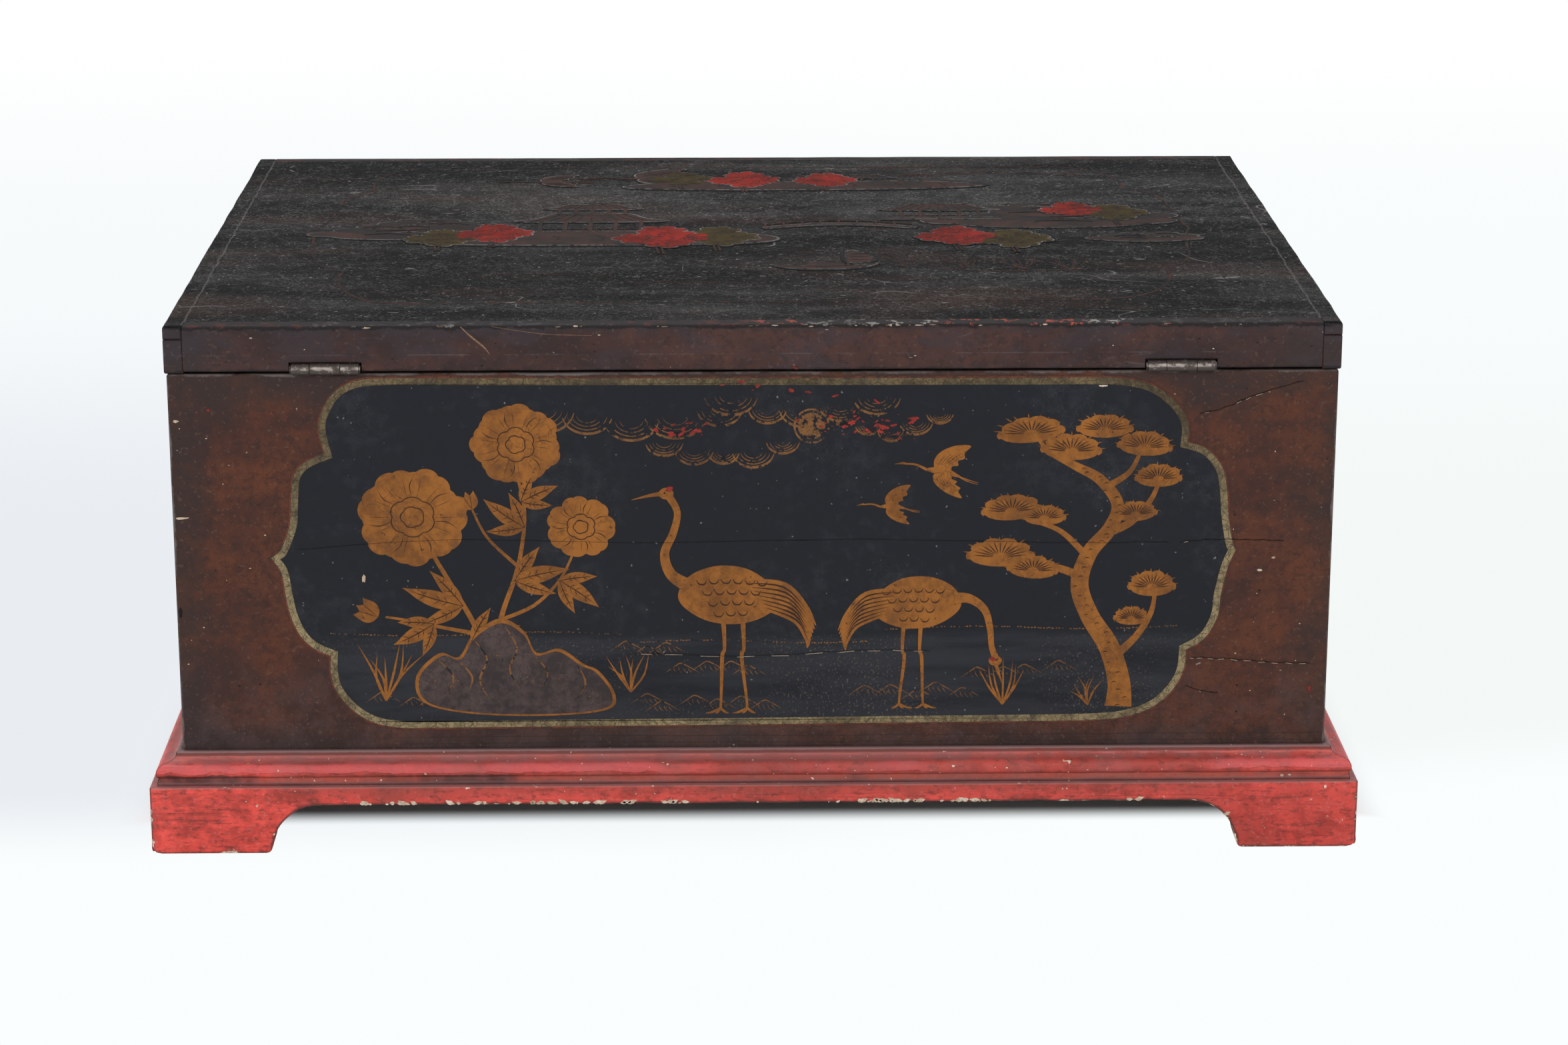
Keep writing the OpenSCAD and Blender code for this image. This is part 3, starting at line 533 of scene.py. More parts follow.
def wood(name, light, dark, along=(0.05, 1.0, 1.0), washed_above=None):
    f = Finish(name, specular=0.2)
    ring = f.noise(60, 4, 0.6, stretch=along)
    pore = f.noise(500, 2, 0.6, stretch=along, shift=3.0)
    cloud = f.noise(9, 3, 0.6, shift=5.0)
    tone = f.step(ring * 0.6 + cloud * 0.4, 0.36, 0.64)
    f.ground(tone, dark, light)
    if washed_above:
        upper = f.step(f.parts(f.at)[2], washed_above - 0.0002, washed_above)
        f.coat(upper, f.mix(tone, WASH_DARK, WASH_RED))
    f.coat(f.step(pore, 0.56, 0.7) * 0.6, tuple(c * 0.35 for c in dark))
    return f.done(0.62 + 0.2 * ring, ring * 0.4 - f.step(pore, 0.56, 0.7) * 0.5, 0.0004)


# %% [markdown]
# ## Metals
# The hinges are brass gone to dark bronze, bright where the lid has rubbed them. On the barrels a
# painted highlight runs along the top, and below their middle the bright patches are left out as
# painted shade. The lock is tarnished brass and dull iron.


# %% Metals
def metal(name, dark, bright, rough=0.42, worn=0.6, barrel=None):
    f = Finish(name, specular=0.5)
    fine = f.noise(900, 4, 0.7)
    cloud = f.noise(260, 3, 0.6, shift=4.0)
    rub = f.step(fine * 0.5 + cloud * 0.5, worn - 0.06, worn + 0.08)
    if barrel:
        # Painted highlight along the top of the hinge barrel, and painted shade below its middle, where the bright
        # patches are left out.
        height = f.parts(f.at)[2] - barrel + (cloud - 0.5) * 0.0012
        painted_crest_highlight = f.step(abs(height - 0.0008), 0.0012, 0.0003) * f.spots(0.4, 0.56, 180, 3, 0.6, shift=9.0)
        rub = (rub * f.step(height, -0.0026, -0.0006)).at_least(painted_crest_highlight * 0.55)
    f.ground(rub, dark, bright)
    return f.done(rough + 0.25 * fine - 0.12 * rub, fine * 0.6 + cloud * 0.4, 0.0003, metallic=0.35 + 0.5 * rub)


# %% Make the finishes
lacquer_brown = brown_lacquer()
lacquer_black = black_lacquer()
lacquer_edge = edge_lacquer()
lacquer_red = red_lacquer()
wash_inside = wood("inside_wash", WASH_RED, WASH_DARK)
# The bottom board is darker than the bare wood: painted shade under the box.
shaded_bottom_wood = wood("shaded_bottom_wood", (0.125, 0.08, 0.048), (0.07, 0.044, 0.029),
    washed_above=corners("bottom_board")[1].z)
wood_bare = wood("bare_wood", (0.2, 0.125, 0.072), (0.11, 0.066, 0.04))
barrel_low, barrel_high = corners("hinge_right_pin")
bronze = metal("dark_bronze", (0.058, 0.043, 0.036), (0.66, 0.56, 0.5), worn=0.61,
    barrel=(barrel_low.z + barrel_high.z) / 2)
brass_old = metal("tarnished_brass", (0.2, 0.135, 0.06), (0.48, 0.34, 0.15), worn=0.5)
iron_dull = metal("dull_iron", (0.07, 0.062, 0.056), (0.2, 0.18, 0.17), rough=0.5)
print(len(bpy.data.materials), "finishes so far")

# %% [markdown]
# ## Boards with worn edges
# A board is a section, drawn once and carried along the board from ring to ring. A new board has
# sharp arrises. An old one has soft ones that are not quite straight, so the section has rounded
# corners and each ring is nudged by a little noise. `loft` joins such rings into one closed mesh.


# %% Mesh from rings
def tidied(data, merge=0.0, work=None):
    """Merges a mesh's doubles, does some bmesh work on it and turns its faces outwards."""
    bm = bmesh.new()
    bm.from_mesh(data)
    if merge:
        bmesh.ops.remove_doubles(bm, verts=bm.verts, dist=merge)
    if work:
        work(bm)
    bmesh.ops.recalc_face_normals(bm, faces=bm.faces)
    bm.to_mesh(data)
    bm.free()
    return data


def no_slivers(bm):
    bmesh.ops.dissolve_degenerate(bm, edges=bm.edges, dist=SAME_PLACE)


def mesh_piece(name, verts, faces, *materials, choose=None):
    """A closed piece. choose(centre, normal) gives the number of a face's material."""
    data = bpy.data.meshes.new(name)
    data.from_pydata([tuple(v) for v in verts], [], faces)
    tidied(data, SAME_PLACE, no_slivers)
    for material in materials:
        data.materials.append(material)
    if choose:
        for face in data.polygons:
            face.material_index = choose(face.center, face.normal)
    return shown(name, data)


def loft(rings):
    """Vertices and faces of rings joined in order, with a flat cap at both ends."""
    count = len(rings[0])
    verts = [p for ring in rings for p in ring]
    faces = []
    for r in range(len(rings) - 1):
        for i in range(count):
            j = (i + 1) % count
            faces.append((r * count + i, r * count + j, (r + 1) * count + j, (r + 1) * count + i))
    faces.append(tuple(range(count)))
    faces.append(tuple(range(len(verts) - count, len(verts))))
    return verts, faces


def rounded(points, radius, steps=4):
    """A closed outline with each corner cut to an arc. radius may be a list, one per corner."""
    result = []
    count = len(points)
    for i in range(count):
        r = radius[i] if isinstance(radius, (list, tuple)) else radius
        before, here, after = (Vector(points[k % count]) for k in (i - 1, i, i + 1))
        if r <= 0:
            result.append(tuple(here))
            continue
        to_before, to_after = (before - here).normalized(), (after - here).normalized()
        a, b = here + to_before * r, here + to_after * r
        for s in range(steps + 1):
            t = s / steps
            result.append(tuple((1 - t) ** 2 * a + 2 * t * (1 - t) * here + t * t * b))
    return result


def finish_piece(piece, body, slot, *nodes):
    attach(piece, body)
    if nodes:
        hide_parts(*nodes)
    return piece


def nudge(place, size, scale=40.0, seed=0.0):
    """A small offset that changes smoothly from place to place."""
    return noise.noise(Vector(place) * scale + Vector((seed, seed, seed))) * size


SIDES = []
for side, name in enumerate(("back", "right", "front", "left")):
    half, deep = (HALF_W, HALF_D) if side % 2 == 0 else (HALF_D, HALF_W)
    SIDES.append((name, half, deep, Matrix.Rotation(radians(90 * side), 4, "Z")))


# %% [markdown]
# ## The case
# The four boards meet in dovetails, which the lacquer hides, so to the eye they meet in one soft
# vertical arris. Each board here ends on the mitre line of that arris. Inside, the boards have the
# wash.


# %% Case boards
def plan_point(half, deep, r, inset, angle):
    if inset < r:
        reach = r - inset
        return half - r + reach * cos(angle), -(deep - r) - reach * sin(angle)
    return half - inset, -(deep - inset)


def case_board(half, deep, turn, thick, r=0.0016):
    section = [(0, BASE_H + 0.0002), (thick, BASE_H + 0.0002), (thick, RIM), (0, RIM)]
    section = rounded(section, [0, 0, 0.0008, 0.0015], 4)
    angles = [radians(a) for a in (45, 60, 75, 90)]
    stations = [("end", 1, a) for a in angles]
    straight = half - 0.016
    steps = 60
    stations += [("run", straight * (1 - 2 * i / steps), 0) for i in range(steps + 1)]
    stations += [("end", -1, a) for a in reversed(angles)]
    rings = []
    for kind, value, angle in stations:
        ring = []
        for inset, z in section:
            if kind == "end":
                x, y = plan_point(half, deep, r, inset, angle)
                x *= value
            else:
                x, y = value, -(deep - inset)
            p = turn @ Vector((x, y, z))
            if z > RIM - 0.0016 and kind == "run":
                p.z -= abs(nudge(p, 0.0007, 70.0, 3.0)) * (1.0 if inset < 0.004 else 0.4)
            ring.append(p)
        rings.append(ring)
    return loft(rings)


def lined(center, normal):
    inside = abs(center.x) < HALF_W - 0.012 and abs(center.y) < HALF_D - 0.012
    return 1 if inside and abs(normal.z) < 0.5 else 0


board_thick = case_high.y - corners("lock_case")[0].y
for name, half, deep, turn in SIDES:
    verts, faces = case_board(half, deep, turn, board_thick)
    board = mesh_piece("case_" + name + "_board", verts, faces, lacquer_brown, wash_inside, choose=lined)
    finish_piece(board, "case", "case_lacquer", name + "_board")
print("case boards", round(board_thick * 1000, 1), "mm thick")

# %% [markdown]
# ## The plinth's base boards
# Each board is sawn to a long arch between two bracket feet. Its outline is repeated at a few
# depths behind the face, shrunk near it, so that every arris comes out soft. The ends lie on the
# mitres. The faces stay a tenth of a millimetre back, which leaves room for flakes on them.


# %% Base boards
def foot_outline(half):
    """Outline of a base board as seen from outside, with its end points first and last."""
    foot = half - FOOT_W
    lean = foot - FOOT_LEAN
    middle = half - ARCH_END
    right = [(half, BASE_H), (half, BASE_H * 0.5)]
    right += [(half - 0.001 * a, 0.001 * z) for a, z in ((0.0, 6.0), (0.35, 3.6), (1.2, 1.7), (2.6, 0.6), (5.5, 0.0))]
    right += [(half - 0.008 * i, 0.0) for i in range(1, 8)]
    right += [(foot + 0.003, 0.0), (foot + 0.0012, 0.0005), (foot + 0.0001, 0.0017), (foot - 0.0006, 0.0038),
        (lean, FOOT_EDGE)]
    for i in range(1, 13):
        a = pi / 2 - ARCH_SWEEP + ARCH_SWEEP * i / 12
        right.append((middle + ARCH_R * cos(a), ARCH_H - ARCH_R + ARCH_R * sin(a)))
    count = 40
    top = [(middle * (1 - 2 * i / count), ARCH_H) for i in range(1, count)]
    left = [(-x, z) for x, z in reversed(right)]
    upper = 60
    back = [(-half + 2 * half * i / upper, BASE_H) for i in range(1, upper)]
    return right + top + left + back


FACE_BACK = 0.0001


def base_board(half, deep, turn, seed):
    half, deep = half + PLINTH_OUT - FACE_BACK, deep + PLINTH_OUT - FACE_BACK
    r, soft, thick = 0.0025, 0.001, 0.02
    outline = foot_outline(half)
    ends = {i for i, (x, z) in enumerate(outline) if abs(abs(x) - half) < 1e-6}
    count = len(outline)
    inward = []
    for i in range(count):
        before, after = Vector(outline[i - 1]), Vector(outline[(i + 1) % count])
        along = (after - before).normalized()
        inward.append(Vector((-along.y, along.x)))
    rings = []
    for depth in (0.0, 0.00012, 0.00035, 0.00073, thick - 0.0006, thick):
        back = max(0.0, thick - depth)
        near = min(depth, back) / soft
        shrink = soft * (1 - sqrt(max(0.0, 1 - (1 - near) ** 2))) if near < 1 else 0.0
        ring = []
        for i, (x, z) in enumerate(outline):
            sign = 1 if x > 0 else -1
            move = inward[i] * -shrink
            if z > BASE_H - 1e-6 or (z < 1e-6 and i in ends):
                move = Vector((0, -shrink if z > 0.01 else shrink))
            px, pz = x + move.x, z + move.y
            if i in ends:
                reach = sqrt(r * r - (r - min(depth, r)) ** 2) if depth < 0.0007 else 0
                px = sign * (half - r + reach if depth < 0.0007 else half - depth)
            elif z > 0.001 and z < BASE_H - 0.001:
                pz += nudge((x, 0, z), 0.0006, 90.0, 5.0 + seed)
            if depth > 0.0007:
                px = sign * min(abs(px), half - depth)
            ring.append(turn @ Vector((px, -deep + depth, pz)))
        rings.append(ring)
    return loft(rings)


for seed, (name, half, deep, turn) in enumerate(SIDES):
    verts, faces = base_board(half, deep, turn, seed)
    inward = turn @ Vector((0, 1, 0))
    board = mesh_piece(
        "plinth_base_board_" + name, verts, faces, lacquer_red, wood_bare,
        choose=lambda center, normal: 1 if normal.dot(inward) > 0.7 else 0,
    )
    finish_piece(board, "case", "plinth_lacquer", "base_board_" + name)
print("base boards with arches", round(ARCH_H * 1000), "mm high")

# %% [markdown]
# ## The base moulding
# A bead under a cove, run round the case in four mitred lengths. This shape follows a rule, so
# Geometry Nodes can make it: a straight line is resampled, Curve to Mesh carries the profile along
# it, and Set Position does the rest. A point further out is stretched along the line, so that the
# ends land on the mitre.


# %% Geometry Nodes helpers
class Builder(Tree):
    """A Geometry Nodes tree whose first input is a geometry, with named inputs after it."""

    def __init__(self, name, **inputs):
        self.group = bpy.data.node_groups.new(name, "GeometryNodeTree")
        super().__init__(self.group)
        face = self.group.interface
        face.new_socket("Geometry", in_out="INPUT", socket_type="NodeSocketGeometry")
        for key, kind in inputs.items():
            face.new_socket(key, in_out="INPUT", socket_type="NodeSocket" + kind)
        face.new_socket("Geometry", in_out="OUTPUT", socket_type="NodeSocketGeometry")
        self.source = self.group.nodes.new("NodeGroupInput")

    def given(self, name):
        return Value(self, self.source.outputs[name])

    def ending(self, geometry):
        real = self.node("GeometryNodeRealizeInstances", sockets={0: geometry})
        coated = self.node("GeometryNodeSetMaterial", sockets={"Geometry": real, "Material": self.given("Material")})
        end = self.group.nodes.new("NodeGroupOutput")
        self.group.links.new(coated.socket, end.inputs[0])
        return self


def grown(name, source, builder, **values):
    """Runs a tree on an object and returns the result as a plain mesh."""
    modifier = source.modifiers.new("growth", "NODES")
    modifier.node_group = builder.group
    for item in builder.group.interface.items_tree:
        if item.in_out == "INPUT" and item.name in values:
            modifier[item.identifier] = values[item.name]
    source.update_tag()
    depsgraph = bpy.context.evaluated_depsgraph_get()
    depsgraph.update()
    data = bpy.data.meshes.new_from_object(source.evaluated_get(depsgraph), depsgraph=depsgraph)
    data.name = name
    source.modifiers.remove(modifier)
    return data


def guide(name, points, closed=False):
    """A curve of straight pieces to build along. It is removed at the end."""
    data = bpy.data.curves.new(name, "CURVE")
    data.dimensions = "3D"
    spline = data.splines.new("POLY")
    spline.points.add(len(points) - 1)
    for point, place in zip(spline.points, points):
        point.co = (place[0], place[1], place[2] if len(place) > 2 else 0.0, 1.0)
    spline.use_cyclic_u = closed
    guides.append(shown(name, data))
    return guides[-1]


guides = []


def mitred_run():
    """A profile carried along X: its X is the distance outwards, to -Y, and its Y is down."""
    t = Builder(
        "mitred_run", Profile="Object", Half="Float", Deep="Float", Height="Float", Spacing="Float",
        Wear="Float", Material="Material",
    )
    half, deep = t.given("Half"), t.given("Deep")
    line = t.node(
        "GeometryNodeResampleCurve", {"mode": "LENGTH"}, {"Curve": t.given("Geometry"), "Length": t.given("Spacing")}
    )
    flat = t.node("GeometryNodeSetCurveNormal", {"mode": "Z_UP"}, {"Curve": line})
    shape = t.node("GeometryNodeObjectInfo", sockets={"Object": t.given("Profile")}, out="Geometry")
    swept = t.node("GeometryNodeCurveToMesh", sockets={"Curve": flat, "Profile Curve": shape, "Fill Caps": True})
    x, y, z = t.parts(t.node("GeometryNodeInputPosition"))
    out = 0.0 - y
    corner = (1.0 - (half - abs(x)) / 0.006).at_least(0.0)
    place = t.node("ShaderNodeCombineXYZ", sockets={0: x + deep * 3.0, 1: out * 2.0, 2: z * 2.0})
    worn = t.node("ShaderNodeTexNoise", {"noise_dimensions": "3D"}, {"Vector": place, "Scale": 55.0, "Detail": 3.0})
    sag = (worn - 0.5) * t.given("Wear") * (out * 90.0).at_most(1.0) * (1 - corner)
    moved = t.node(
        "ShaderNodeCombineXYZ", sockets={0: x * (half + out) / half, 1: y * (1 - sag * 40.0) - deep,
            2: z + sag + t.given("Height")}
    )
    placed = t.node("GeometryNodeSetPosition", sockets={"Geometry": swept, "Position": moved})
    return t.ending(placed)


# %% Moulding
RUN_STEP, RUN_WEAR = 3 * MM, 0.9 * MM


def moulding_profile():
    out, bead, height = 0.0132, 0.0042, MOULD_TOP - BASE_H
    centre = (out - bead, 0.0028 + bead)
    crown, step_h = centre[1] + bead, height - 0.0011
    points = [(0.0, 0.0), (out - 0.0006, 0.0), (out - 0.0007, 0.002), (out - 0.001, 0.0034), (out - 0.0013, 0.0039)]
    for i in range(13):
        a = radians(-42 + 132 * i / 12)
        points.append((centre[0] + bead * cos(a), centre[1] + bead * sin(a)))
    for i in range(1, 11):
        a = pi / 2 * i / 10
        points.append((centre[0] - (centre[0] - 0.0034) * sin(a), crown + (step_h - crown) * (1 - cos(a))))
    points += [(0.0032, height - 0.0003), (0.0027, height), (0.0, height)]
    return [(x, -y) for x, y in points]


run = mitred_run()
profile = guide("moulding_profile", moulding_profile(), closed=True)
for name, half, deep, turn in SIDES:
    node = "moulding_" + name
    line = guide("line_" + node, [(-half, 0, 0), (half, 0, 0)])
    data = grown(
        "run_" + node, line, run, Profile=profile, Half=half, Deep=deep, Height=BASE_H, Spacing=RUN_STEP,
        Wear=RUN_WEAR, Material=lacquer_red,
    )
    data.transform(turn)
    finish_piece(shown("run_" + node, tidied(data, 2 * SAME_PLACE)), "case", "plinth_lacquer", node)
    print(node, len(data.polygons), "faces")

# %% [markdown]
# ## Planks with soft arrises
# The lid is a frame of four rails with a board let into it, and a narrow strip closes each end of
# the board. A plank's section may change along its length, which is how the back rail gets the two
# openings for the hinges: two rings at the same place, one whole and one cut back, make a square
# step.


# %% Plank
def end_inset(distance, soft):
    """How far a section shrinks at this distance from a softened end."""
    if distance >= soft:
        return 0.0
    return soft * (1 - sqrt(max(0.0, 1 - (1 - distance / soft) ** 2)))


def plank(low, high, axis, radii, soft=0.0007, step=0.008, seed=0.0, lift_at=None, stops=()):
    """A board along X (axis 0) or Y (axis 1). lift_at(place) raises its outer lower corner."""
    other = 1 - axis
    length = high[axis] - low[axis]
    count = max(2, round(length / step))
    places = [low[axis] + length * i / count for i in range(1, count)]
    for stop in stops:
        places = [p for p in places if abs(p - stop) > 0.001] + [stop - 0.00002, stop + 0.00002]
    for i in range(5):
        shrink = soft * (1 - cos(pi / 2 * i / 4))
        places += [low[axis] + shrink, high[axis] - shrink]
    rings = []
    for place in sorted(places):
        inset = end_inset(min(place - low[axis], high[axis] - place), soft)
        a0, a1, z0, z1 = low[other] + inset, high[other] - inset, low[2] + inset, high[2] - inset
        lift, reach = lift_at(place) if lift_at else (0.0, (a1 - a0) / 2)
        points = [(a0, z0 + lift), (a0 + reach, z0 + lift), (a0 + reach, z0), (a1, z0), (a1, z1), (a0, z1)]
        change = 1 + 0.6 * noise.noise(Vector((place * 45, seed, 0)))
        a, b, c, d = [max(0.00015, (r - inset) * change) if r else 0.0 for r in radii]
        section = rounded(points, [a, 0, 0, b, c, d], 4)
        rings.append([(place, p, z) if axis == 0 else (p, place, z) for p, z in section])
    return loft(rings)


# %% [markdown]
# ## The lid
# The rails are brown lacquer outside and washed inside. Their top and the board are black. The
# picture on the lid stands proud of the board, so the board's own face is set a little lower here,
# and the highest flakes reach the height that the CAD gives.

# %% Lid boards
RELIEF_ROOM = 0.7 * MM
TOP_FACE = LID_TOP - RELIEF_ROOM
pin_low, pin_high = corners("hinge_right_pin")
HINGE_X = (pin_low.x + pin_high.x) / 2
HINGE_ROOM = (pin_high.x - pin_low.x) / 2 + 0.0006
NOTCH_TOP = pin_high.z + 0.001


def lid_plank(node, axis, radii, outward=None, **more):
    """A lid board: its top is black, its inner side and underside are washed."""
    low, high = corners(node)
    high.z = min(high.z, TOP_FACE)
    verts, faces = plank(low, high, axis, radii, seed=len(node) + low.x, **more)

    def choose(center, normal):
        if normal.z > 0.7 and high.z == TOP_FACE:
            return 1
        if outward is None:
            return 0 if abs(normal.z) < 0.5 else 2 if normal.z < -0.7 else 1
        return 2 if normal[1 - axis] * outward < -0.7 else 0

    piece = mesh_piece("top_" + node, verts, faces, lacquer_edge, lacquer_black, wash_inside, choose=choose)
    return finish_piece(piece, "lid", "lid_edge_lacquer" if outward else "lid_top_lacquer", node)


def hinge_lift(place):
    in_notch = any(abs(place - side * HINGE_X) < HINGE_ROOM for side in (-1, 1))
    return (NOTCH_TOP - corners("lid_rail_back")[0].z if in_notch else 0.0), 0.0086


notch_sides = [side * HINGE_X + end * HINGE_ROOM for side in (-1, 1) for end in (-1, 1)]
lid_plank("lid_rail_back", 0, [0.001, 0.0003, 0, 0.0012], -1, lift_at=hinge_lift, stops=notch_sides)
lid_plank("lid_rail_front", 0, [0.0003, 0.001, 0.0012, 0], 1)
lid_plank("lid_rail_left", 1, [0.0012, 0.0003, 0, 0.0006], -1, soft=0.0012)
lid_plank("lid_rail_right", 1, [0.0003, 0.0012, 0.0006, 0], 1, soft=0.0012)
lid_plank("lid_cleat_left", 1, [0.0006, 0.0003, 0.0003, 0.0018], soft=0.0014)
lid_plank("lid_cleat_right", 1, [0.0003, 0.0006, 0.0018, 0.0003], soft=0.0014)


def lid_panel():
    """The lid's board, cut back to the inner sides of the strips and rails, so no tops overlap."""
    low, high = corners("lid_board")
    inner_x = corners("lid_cleat_right")[0].x
    low.x, high.x, high.z = -inner_x, inner_x, TOP_FACE
    low.y, high.y = corners("lid_rail_back")[1].y, corners("lid_rail_front")[0].y
    verts, faces = plank(low, high, 0, [0.0002, 0.0002, 0, 0], soft=0.0003)
    piece = mesh_piece(
        "top_lid_board", verts, faces, lacquer_black, wash_inside,
        choose=lambda center, normal: 1 if normal.z < -0.7 else 0,
    )
    return finish_piece(piece, "lid", "lid_top_lacquer", "lid_board")


lid_panel()
print("lid boards, hinge openings", round(HINGE_ROOM * 2000, 1), "mm wide")

# %% [markdown]
# ## Metal parts and hidden wood
# The lock, the screws, the bottom board and the corner blocks are already detailed in the CAD. They
# only get better materials. The hinges and the key plate are worn round, so they are copied with
# their sharp edges bevelled off.

# %% CAD nodes that stay
staying = {
    "hinge_case_screws hinge_lid_screws": bronze,
    "lock_case lock_cap lock_screws escutcheon_pins link_staple_left link_staple_right link_plate_screws": brass_old,
    "lock_bolt lock_spring": iron_dull,
    "bottom_board": shaded_bottom_wood,
    "foot_block_back_left foot_block_back_right foot_block_front_left foot_block_front_right": wood_bare,
}
for names, material in staying.items():
    for node in names.split():
        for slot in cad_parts[node].material_slots:
            slot.material = material
print(sum(len(names.split()) for names in staying), "CAD nodes keep their shape")


def softened(node, body, material, width):
    """A copy of a CAD node with its sharp edges rounded off."""
    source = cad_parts[node]
    data = source.data.copy()
    data.transform(source.matrix_world)

    def bevelled(bm):
        bmesh.ops.dissolve_limit(bm, angle_limit=0.02, verts=bm.verts, edges=bm.edges)
        sharp = [edge for edge in bm.edges if edge.is_manifold and edge.calc_face_angle() > 0.7]
        bmesh.ops.bevel(bm, geom=sharp, offset=width, segments=3, profile=0.5, affect="EDGES", clamp_overlap=True)
        bmesh.ops.triangulate(bm, faces=bm.faces)

    tidied(data, SAME_PLACE, bevelled)
    data.materials.clear()
    data.materials.append(material)
    print("softened", node, len(data.polygons), "faces")
    return finish_piece(shown("soft_" + node, data), body, "hinge_metal" if "hinge" in node else "lock_brass", node)


for side in ("left", "right"):
    softened("hinge_" + side + "_case_leaf", "case", bronze, 0.0005)
    softened("hinge_" + side + "_lid_leaf", "lid", bronze, 0.0005)
    softened("hinge_" + side + "_pin", "case", bronze, 0.0004)
softened("escutcheon", "case", brass_old, 0.0002)
softened("link_plate", "lid", brass_old, 0.0003)

# %% [markdown]
# ## Painted shapes
# The picture is laid on the lacquer in thin layers: a black panel, a gold ground colour, darker
# brush lines on top. Each shape here is a flat outline in millimetres, cut out of a leaf of paint a
# tenth of a millimetre thick. Strokes swell and taper as a brush does, and every later shape in a
# layer lies a little higher, so that no two faces fight. All shapes of one paint on one face join
# in one mesh.


# %% Outlines
def smooth_line(points, steps=6, closed=False):
    """A curve through the points (Catmull-Rom). Each point may carry a width as a third number."""
    points = [tuple(p) for p in points]
    count = len(points)
    result = []
    for i in range(count if closed else count - 1):
        if closed:
            p0, p1, p2, p3 = (points[(i + k) % count] for k in (-1, 0, 1, 2))
        else:
            p0, p1, p2, p3 = (points[min(max(i + k, 0), count - 1)] for k in (-1, 0, 1, 2))
        for s in range(steps):
            t = s / steps
            result.append(
                tuple(
                    0.5 * (2 * b + (c - a) * t + (2 * a - 5 * b + 4 * c - d) * t * t + (3 * b - a - 3 * c + d) * t**3)
                    for a, b, c, d in zip(p0, p1, p2, p3)
                )
            )
    if not closed:
        result.append(points[-1])
    return result


def stroke(points, width=1.0, ends=(0.1, 0.1), steps=6):
    """Outline of a brush stroke along the points. Points may give their own widths."""
    if len(points[0]) == 2:
        count = len(points) - 1
        swell = [sin(pi * (0.12 + 0.76 * i / max(count, 1))) for i in range(count + 1)]
        points = [(x, y, width * s) for (x, y), s in zip(points, swell)]
        points[0] = (*points[0][:2], width * ends[0])
        points[-1] = (*points[-1][:2], width * ends[1])
    line = smooth_line(points, steps)
    left, right = [], []
    for i, (x, y, w) in enumerate(line):
        x0, y0, _ = line[max(i - 1, 0)]
        x1, y1, _ = line[min(i + 1, len(line) - 1)]
        length = hypot(x1 - x0, y1 - y0) or 1.0
        nx, ny = -(y1 - y0) / length, (x1 - x0) / length
        half = max(w, 0.05) / 2
        left.append((x + nx * half, y + ny * half))
        right.append((x - nx * half, y - ny * half))
    return left + right[::-1]


def polar(x, y, rx, ry, a):
    """The point of an ellipse at an angle in radians."""
    return x + rx * cos(a), y + ry * sin(a)


def blob(x, y, rx, ry, rough=0.1, seed=0, turn=0.0, steps=24):
    """A rounded patch with an uneven edge."""
    result = []
    for i in range(steps):
        a = 2 * pi * i / steps
        r = 1 + rough * noise.noise(Vector((cos(a) * 1.7, sin(a) * 1.7, seed * 3.17)))
        px, py = rx * r * cos(a), ry * r * sin(a)
        c, s = cos(turn), sin(turn)
        result.append((x + px * c - py * s, y + px * s + py * c))
    return result


def moved(outline, x=0.0, y=0.0, turn=0.0, size=1.0, flip=False):
    c, s = cos(turn), sin(turn)
    result = []
    for px, py in outline:
        px, py = (-px if flip else px) * size, py * size
        result.append((x + px * c - py * s, y + px * s + py * c))
    return result


# %% [markdown]
# ## Leaves of paint
# A face of the box is a place for outlines: its own two axes, and how far its paint lies from the
# middle of the box. `Paint` collects outlines for one finish and turns them all into one mesh. The
# rim of every leaf is closed down into the wood, so the mesh has no open edge.


# %% Paint on a face
STACK_STEP, STACK_COUNT = 0.0007, 40
MIN_GAP = 0.04


class Face:
    """Where flat outlines go: x to the right and y up as seen from outside, in millimetres."""

    def __init__(self, across, up, level, body, slot):
        self.across, self.up = Vector(across), Vector(up)
        self.out = self.across.cross(self.up)
        self.level, self.body, self.slot = level, body, slot

    def at(self, x, y, height):
        return self.across * (x * MM) + self.up * (y * MM) + self.out * (self.level + height * MM)


